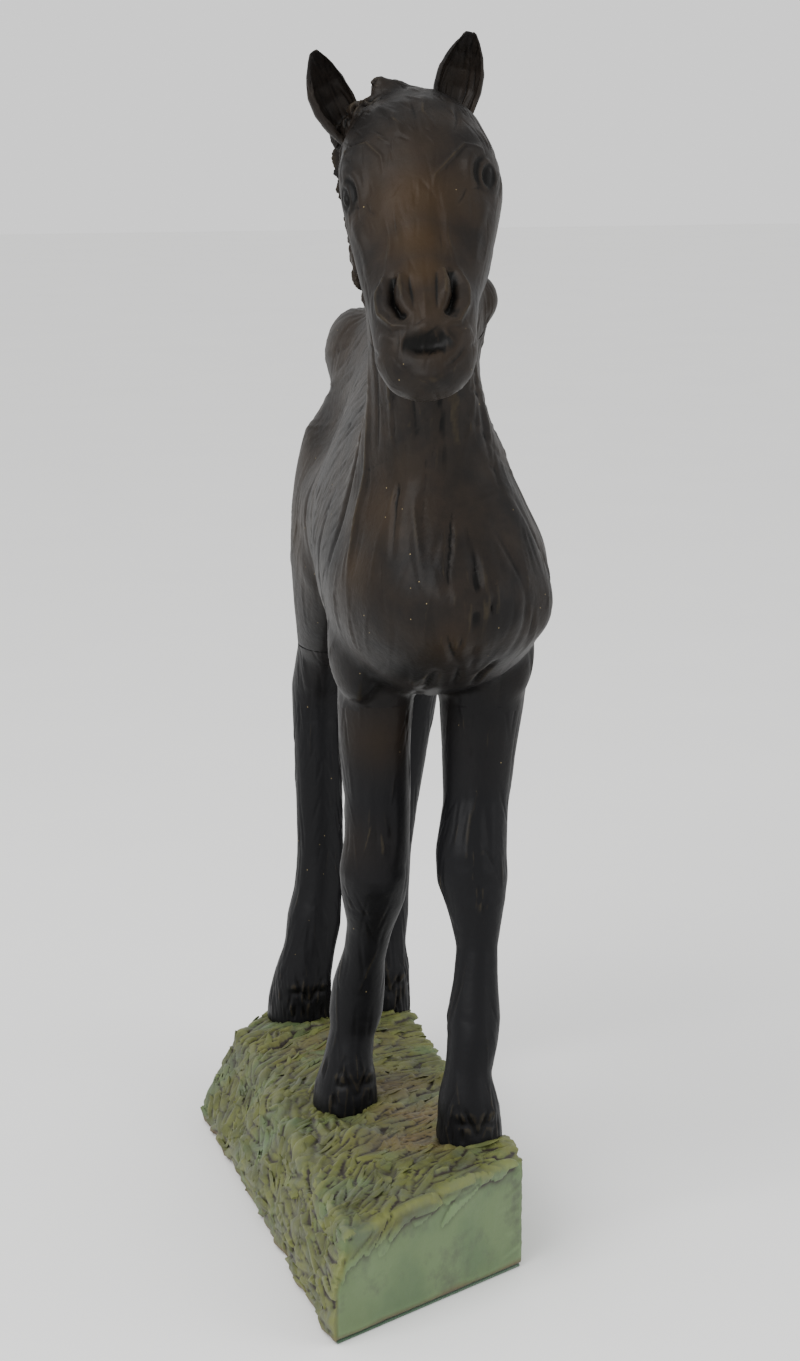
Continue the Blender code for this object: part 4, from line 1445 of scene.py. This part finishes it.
# separate flakes that stand off the ground, where the turf was torn
rng = np.random.default_rng(84)
co, no = points_of(plinth), normals_of(plinth)
ground = surface_of(plinth)
weight = np.array([d.value for d in plinth.data.attributes["turf"].data])
weight = np.clip(weight - 0.55, 0, 1) * (no[:, 2] > -0.1)
blades = bmesh.new()
for start in rng.choice(len(co), LOOSE_FLAKES, p=weight / weight.sum()):
    p, n = co[start], no[start]
    ahead = lie(p, n) + rng.normal(0, 0.3, 3)
    ahead -= n * (ahead @ n)
    ahead /= np.linalg.norm(ahead)
    beside = np.cross(n, ahead)
    long, wide = rng.uniform(6, 15), rng.uniform(1.2, 2.8)
    lift, curl = rng.uniform(0.6, 2.2), rng.uniform(-2.5, 2.5)
    rings = []
    for step in range(6):
        t = step / 5
        half = wide * (math.sin(math.pi * (0.18 + 0.8 * t)) ** 0.7) + 0.15
        middle = p + (ahead * long * (t - 0.45) + beside * curl * (t - 0.3) ** 2 * 2) / 1000
        seat = ground.find_nearest(Vector(middle))[0]
        middle = np.array(seat) + n * (lift * t**1.6 - 0.5) / 1000
        ring_points = []
        for angle in range(0, 360, 60):
            a = math.radians(angle)
            ring_points.append(
                blades.verts.new(
                    middle + (beside * math.cos(a) * half + n * math.sin(a) * 0.55) / 1000,
                ),
            )
        rings.append(ring_points)
    for low, high in zip(rings[:-1], rings[1:]):
        for i in range(6):
            blades.faces.new((low[i], low[(i + 1) % 6], high[(i + 1) % 6], high[i]))
    blades.faces.new(rings[0][::-1])
    blades.faces.new(rings[-1])
bmesh.ops.recalc_face_normals(blades, faces=blades.faces)
flake_mesh = bpy.data.meshes.new("turf_flakes_cast")
blades.to_mesh(flake_mesh)
blades.free()
flakes = bpy.data.objects.new("turf_flakes_cast", flake_mesh)
bpy.context.scene.collection.objects.link(flakes)
co = points_of(flakes)
co[:, 2] = np.maximum(co[:, 2], points_of(plinth)[:, 2].min())
set_points(flakes, co)
sanded(flakes, SANDY[:3])
store(flakes, "turf", np.ones(len(co)))
store(flakes, "relief", np.full(len(co), 0.35))

# bronze coloured green with cupric nitrate over brown: mint where it is smooth, olive to yellow on
# the turf, sandy between the hooves, and the brown left showing in every hollow, darkened further
# with painted shade in the gaps of the turf
green_bronze, tree, shader = new_material("bronze_green_cupric_nitrate_patina")
where = add(tree, "ShaderNodeTexCoord").outputs["Object"]
relief = add(tree, "ShaderNodeAttribute", attribute_name="relief").outputs["Fac"]
turfy = add(tree, "ShaderNodeAttribute", attribute_name="turf").outputs["Fac"]
sand = add(tree, "ShaderNodeAttribute", attribute_name="sandy").outputs["Fac"]
patches = add(
    tree,
    "ShaderNodeTexNoise",
    {"Scale": 70.0, "Detail": 4.0, "Roughness": 0.6},
    {"Vector": where},
)
patchy = add(
    tree,
    "ShaderNodeMapRange",
    {"From Min": 0.38, "From Max": 0.62},
    {"Value": patches.outputs["Fac"]},
)
olive = add(
    tree,
    "ShaderNodeMix",
    {"A": linear("393e12"), "B": linear("555a22")},
    {"Factor": patchy.outputs["Result"]},
    data_type="RGBA",
)
wide = add(tree, "ShaderNodeTexNoise", {"Scale": 26.0, "Detail": 5.0}, {"Vector": where})
mints = add(
    tree,
    "ShaderNodeMix",
    {"A": linear("4f6239"), "B": linear("677d56")},
    {"Factor": wide.outputs["Fac"]},
    data_type="RGBA",
)
smooth = add(tree, "ShaderNodeMapRange", {"From Min": 0.55, "From Max": 0.1}, {"Value": turfy})
greens = add(
    tree,
    "ShaderNodeMix",
    links={
        "Factor": smooth.outputs["Result"],
        "A": olive.outputs["Result"],
        "B": mints.outputs["Result"],
    },
    data_type="RGBA",
)
# patches of mint on the turf too, 30 mm across
mint_on = add(
    tree,
    "ShaderNodeTexNoise",
    {"Scale": 33.0, "Detail": 3.0, "W": 3.0},
    {"Vector": where},
    noise_dimensions="4D",
)
mint_share = add(
    tree,
    "ShaderNodeMapRange",
    {"From Min": 0.5, "From Max": 0.66, "To Max": 0.7},
    {"Value": mint_on.outputs["Fac"]},
)
# smudges of grey where the brown shows through thinly
smudge = add(
    tree,
    "ShaderNodeTexNoise",
    {"Scale": 48.0, "Detail": 6.0, "Roughness": 0.7, "W": 7.0},
    {"Vector": where},
    noise_dimensions="4D",
)
smudged = add(
    tree,
    "ShaderNodeMapRange",
    {"From Min": 0.50, "From Max": 0.64, "To Max": 0.7},
    {"Value": smudge.outputs["Fac"]},
)
# brown in the hollows: the brown under the green patina, and painted shade in the gaps between the
# flakes
hollow_patina_and_shade = add(tree, "ShaderNodeMapRange", {"From Min": 0.08, "From Max": -0.4}, {"Value": relief})
proud = add(
    tree,
    "ShaderNodeMapRange",
    {"From Min": 0.35, "From Max": 1.0, "To Max": 0.45},
    {"Value": relief},
)
# a rusty line wanders along the foot of the block
level = add(tree, "ShaderNodeSeparateXYZ", links={"Vector": where}).outputs["Z"]
wander = add(tree, "ShaderNodeMath", {1: 0.006}, {0: wide.outputs["Fac"]}, operation="MULTIPLY")
line_at = add(
    tree,
    "ShaderNodeMath",
    links={0: level, 1: wander.outputs["Value"]},
    operation="SUBTRACT",
)
rust = add(
    tree,
    "ShaderNodeMapRange",
    {"From Min": 0.0016, "From Max": -0.0010, "To Max": 0.7},
    {"Value": line_at.outputs["Value"]},
)
colour = greens.outputs["Result"]
for code, share in (
    ("4b6241", mint_share.outputs["Result"]),
    ("5e4e32", sand),
    ("464d3c", smudged.outputs["Result"]),
    ("1f170c", hollow_patina_and_shade.outputs["Result"]),
    ("71763f", proud.outputs["Result"]),
    ("50341c", rust.outputs["Result"]),
):
    layer = add(
        tree,
        "ShaderNodeMix",
        {"B": linear(code)},
        {"Factor": share, "A": colour},
        data_type="RGBA",
    )
    colour = layer.outputs["Result"]
tree.links.new(colour, shader.inputs["Base Color"])
chalk = add(
    tree,
    "ShaderNodeMapRange",
    {"To Min": 0.52, "To Max": 0.78},
    {"Value": patches.outputs["Fac"]},
)
tree.links.new(chalk.outputs["Result"], shader.inputs["Roughness"])
shader.inputs["Metallic"].default_value = 0.1
shader.inputs["Coat Weight"].default_value = 0.12
shader.inputs["Coat Roughness"].default_value = 0.4
grain = add(tree, "ShaderNodeTexNoise", {"Scale": 1500.0, "Detail": 3.0}, {"Vector": where})
lumps = add(tree, "ShaderNodeTexNoise", {"Scale": 300.0, "Detail": 5.0}, {"Vector": where})
soft = add(
    tree,
    "ShaderNodeBump",
    {"Strength": 0.6, "Distance": 0.0007},
    {"Height": lumps.outputs["Fac"]},
)
fine = add(
    tree,
    "ShaderNodeBump",
    {"Strength": 0.4, "Distance": 0.00015},
    {"Height": grain.outputs["Fac"], "Normal": soft.outputs["Normal"]},
)
tree.links.new(fine.outputs["Normal"], shader.inputs["Normal"])
finished(plinth, ["plinth_shell"], green_bronze, 70)
finished(flakes, [], green_bronze, 40)

# ---- Fixings -------------------------------------------------------------------------------------
# Under each hoof a steel stud comes down through the plinth's top and is held by a washer and a
# nut, and four countersunk screws hold the board. Zinc plated steel: dull silver, faintly spangled.
zinc, tree, shader = new_material("zinc_plated_steel")
where = add(tree, "ShaderNodeTexCoord").outputs["Object"]
spangle = add(tree, "ShaderNodeTexVoronoi", {"Scale": 900.0}, {"Vector": where})
tones = add(
    tree,
    "ShaderNodeMix",
    {"A": linear("a9aba8"), "B": linear("c6c7c2")},
    {"Factor": spangle.outputs["Distance"]},
    data_type="RGBA",
)
tree.links.new(tones.outputs["Result"], shader.inputs["Base Color"])
dull = add(
    tree,
    "ShaderNodeMapRange",
    {"To Min": 0.28, "To Max": 0.46},
    {"Value": spangle.outputs["Distance"]},
)
tree.links.new(dull.outputs["Result"], shader.inputs["Roughness"])
shader.inputs["Metallic"].default_value = 1.0
drawn = add(tree, "ShaderNodeTexNoise", {"Scale": 1800.0, "Detail": 2.0}, {"Vector": where})
bump = add(
    tree,
    "ShaderNodeBump",
    {"Strength": 0.2, "Distance": 0.0001},
    {"Height": drawn.outputs["Fac"]},
)
tree.links.new(bump.outputs["Normal"], shader.inputs["Normal"])
for name, fixing in frame["nodes"].items():
    if name.startswith(("hoof_", "board_screw_")):
        for slot in fixing.material_slots:
            slot.material = zinc

# ---- Bottom board --------------------------------------------------------------------------------
# A 4 mm board of three-ply birch closes the block, sawn to its outline: pale tan with long grain
# along the board and a darker middle ply at the edge.
birch, tree, shader = new_material("birch_three_ply")
where = add(tree, "ShaderNodeTexCoord").outputs["Object"]
stretched = add(tree, "ShaderNodeMapping", {"Scale": (260.0, 14.0, 260.0)}, {"Vector": where})
figure = add(
    tree,
    "ShaderNodeTexNoise",
    {"Scale": 1.0, "Detail": 6.0, "Distortion": 0.6},
    {"Vector": stretched.outputs["Vector"]},
)
woods = add(
    tree,
    "ShaderNodeMix",
    {"A": linear("b18a5c"), "B": linear("d3b384")},
    {"Factor": figure.outputs["Fac"]},
    data_type="RGBA",
)
deep = add(tree, "ShaderNodeSeparateXYZ", links={"Vector": where}).outputs["Z"]
low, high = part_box("bottom_board")
middle = add(
    tree,
    "ShaderNodeMath",
    {1: (low.z + high.z) / 2, 2: 0.0007},
    {0: deep},
    operation="COMPARE",
)
plies = add(
    tree,
    "ShaderNodeMix",
    {"B": linear("8a6238")},
    {"Factor": middle.outputs["Value"], "A": woods.outputs["Result"]},
    data_type="RGBA",
)
tree.links.new(plies.outputs["Result"], shader.inputs["Base Color"])
sawn = add(
    tree,
    "ShaderNodeMapRange",
    {"To Min": 0.5, "To Max": 0.7},
    {"Value": figure.outputs["Fac"]},
)
tree.links.new(sawn.outputs["Result"], shader.inputs["Roughness"])
bump = add(
    tree,
    "ShaderNodeBump",
    {"Strength": 0.3, "Distance": 0.0002},
    {"Height": figure.outputs["Fac"]},
)
tree.links.new(bump.outputs["Normal"], shader.inputs["Normal"])
for slot in frame["nodes"]["bottom_board"].material_slots:
    slot.material = birch

# ---- Base pad ------------------------------------------------------------------------------------
# A sheet of green woollen baize, 1.2 mm thick, cut to the block's outline and glued under the
# board, so that the bronze doesn't mark a table. A milled cloth: matt, with a short felted nap.
pad = copy_of("base_pad")
pad.name = "base_pad_cloth"
choose(pad)
bpy.ops.object.mode_set(mode="EDIT")
bpy.ops.mesh.select_all(action="SELECT")
bpy.ops.mesh.dissolve_limited(angle_limit=math.radians(1))
bpy.ops.object.mode_set(mode="OBJECT")
modify(pad, "BEVEL", width=0.0003, segments=2, limit_method="ANGLE")
baize, tree, shader = new_material("green_wool_baize")
where = add(tree, "ShaderNodeTexCoord").outputs["Object"]
nap = add(tree, "ShaderNodeTexNoise", {"Scale": 1400.0, "Detail": 4.0}, {"Vector": where})
felted = add(tree, "ShaderNodeTexVoronoi", {"Scale": 1100.0}, {"Vector": where})
wools = add(
    tree,
    "ShaderNodeMix",
    {"A": linear("1d3a24"), "B": linear("35593a")},
    {"Factor": nap.outputs["Fac"]},
    data_type="RGBA",
)
tree.links.new(wools.outputs["Result"], shader.inputs["Base Color"])
matt = add(
    tree,
    "ShaderNodeMapRange",
    {"To Min": 0.85, "To Max": 1.0},
    {"Value": nap.outputs["Fac"]},
)
tree.links.new(matt.outputs["Result"], shader.inputs["Roughness"])
shader.inputs["Sheen Weight"].default_value = 0.5
bump = add(
    tree,
    "ShaderNodeBump",
    {"Strength": 0.7, "Distance": 0.0004},
    {"Height": felted.outputs["Distance"]},
)
tree.links.new(bump.outputs["Normal"], shader.inputs["Normal"])
finished(pad, ["base_pad"], baize, 40)
low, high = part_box("base_pad")

# ---- Floor, light and camera ---------------------------------------------------------------------
# A pale floor without an edge in sight, one wide soft light above and to the left of the camera,
# a weaker one from the right, and light all round from the walls.
deselect()
bpy.ops.mesh.primitive_grid_add(
    x_subdivisions=8,
    y_subdivisions=8,
    size=16,
    location=(0, 0, -0.0002),
)
floor = bpy.context.object
floor.name = "floor"
bpy.ops.object.transform_apply(location=True, rotation=True, scale=True)
paper, tree, shader = new_material("white_paper_roll")
where = add(tree, "ShaderNodeTexCoord").outputs["Object"]
tooth = add(tree, "ShaderNodeTexNoise", {"Scale": 6.0, "Detail": 2.0}, {"Vector": where})
whites = add(
    tree,
    "ShaderNodeMix",
    {"A": linear("f3f3f2"), "B": linear("f8f8f7")},
    {"Factor": tooth.outputs["Fac"]},
    data_type="RGBA",
)
tree.links.new(whites.outputs["Result"], shader.inputs["Base Color"])
shader.inputs["Roughness"].default_value = 0.9
floor.data.materials.append(paper)

world = bpy.data.worlds.new("studio_walls")
bpy.context.scene.world = world
world.use_nodes = True
walls = world.node_tree.nodes["Background"]
walls.inputs["Color"].default_value = (1.0, 1.0, 1.0, 1.0)
walls.inputs["Strength"].default_value = 1.15


def soft_box(name, place, aim, size, power):
    light = bpy.data.lights.new(name, "AREA")
    light.shape = "SQUARE"
    light.size = size
    light.energy = power
    lamp = bpy.data.objects.new(name, light)
    bpy.context.scene.collection.objects.link(lamp)
    lamp.location = place
    lamp.rotation_euler = (Vector(aim) - Vector(place)).to_track_quat("-Z", "Y").to_euler()
    return lamp


soft_box("soft_key", (-1.3, -1.0, 1.7), (0, 0, 0.28), 1.6, 42)
soft_box("soft_fill", (1.6, -1.3, 0.9), (0, 0, 0.25), 1.2, 9)

eye = bpy.data.cameras.new("camera")
eye.lens = 83.3
eye.sensor_width = 36
eye.clip_end = 60
camera = bpy.data.objects.new("camera", eye)
bpy.context.scene.collection.objects.link(camera)
# 1.4 m away at the height of the head, looking down a little and to the foal's left
LOOKS_DOWN, LOOKS_ASIDE = 11.3, 14  # degrees
camera.location = (-0.3227, -1.3803, 0.530)
camera.rotation_euler = (math.radians(90 - LOOKS_DOWN), 0, math.radians(-LOOKS_ASIDE))
bpy.context.scene.camera = camera
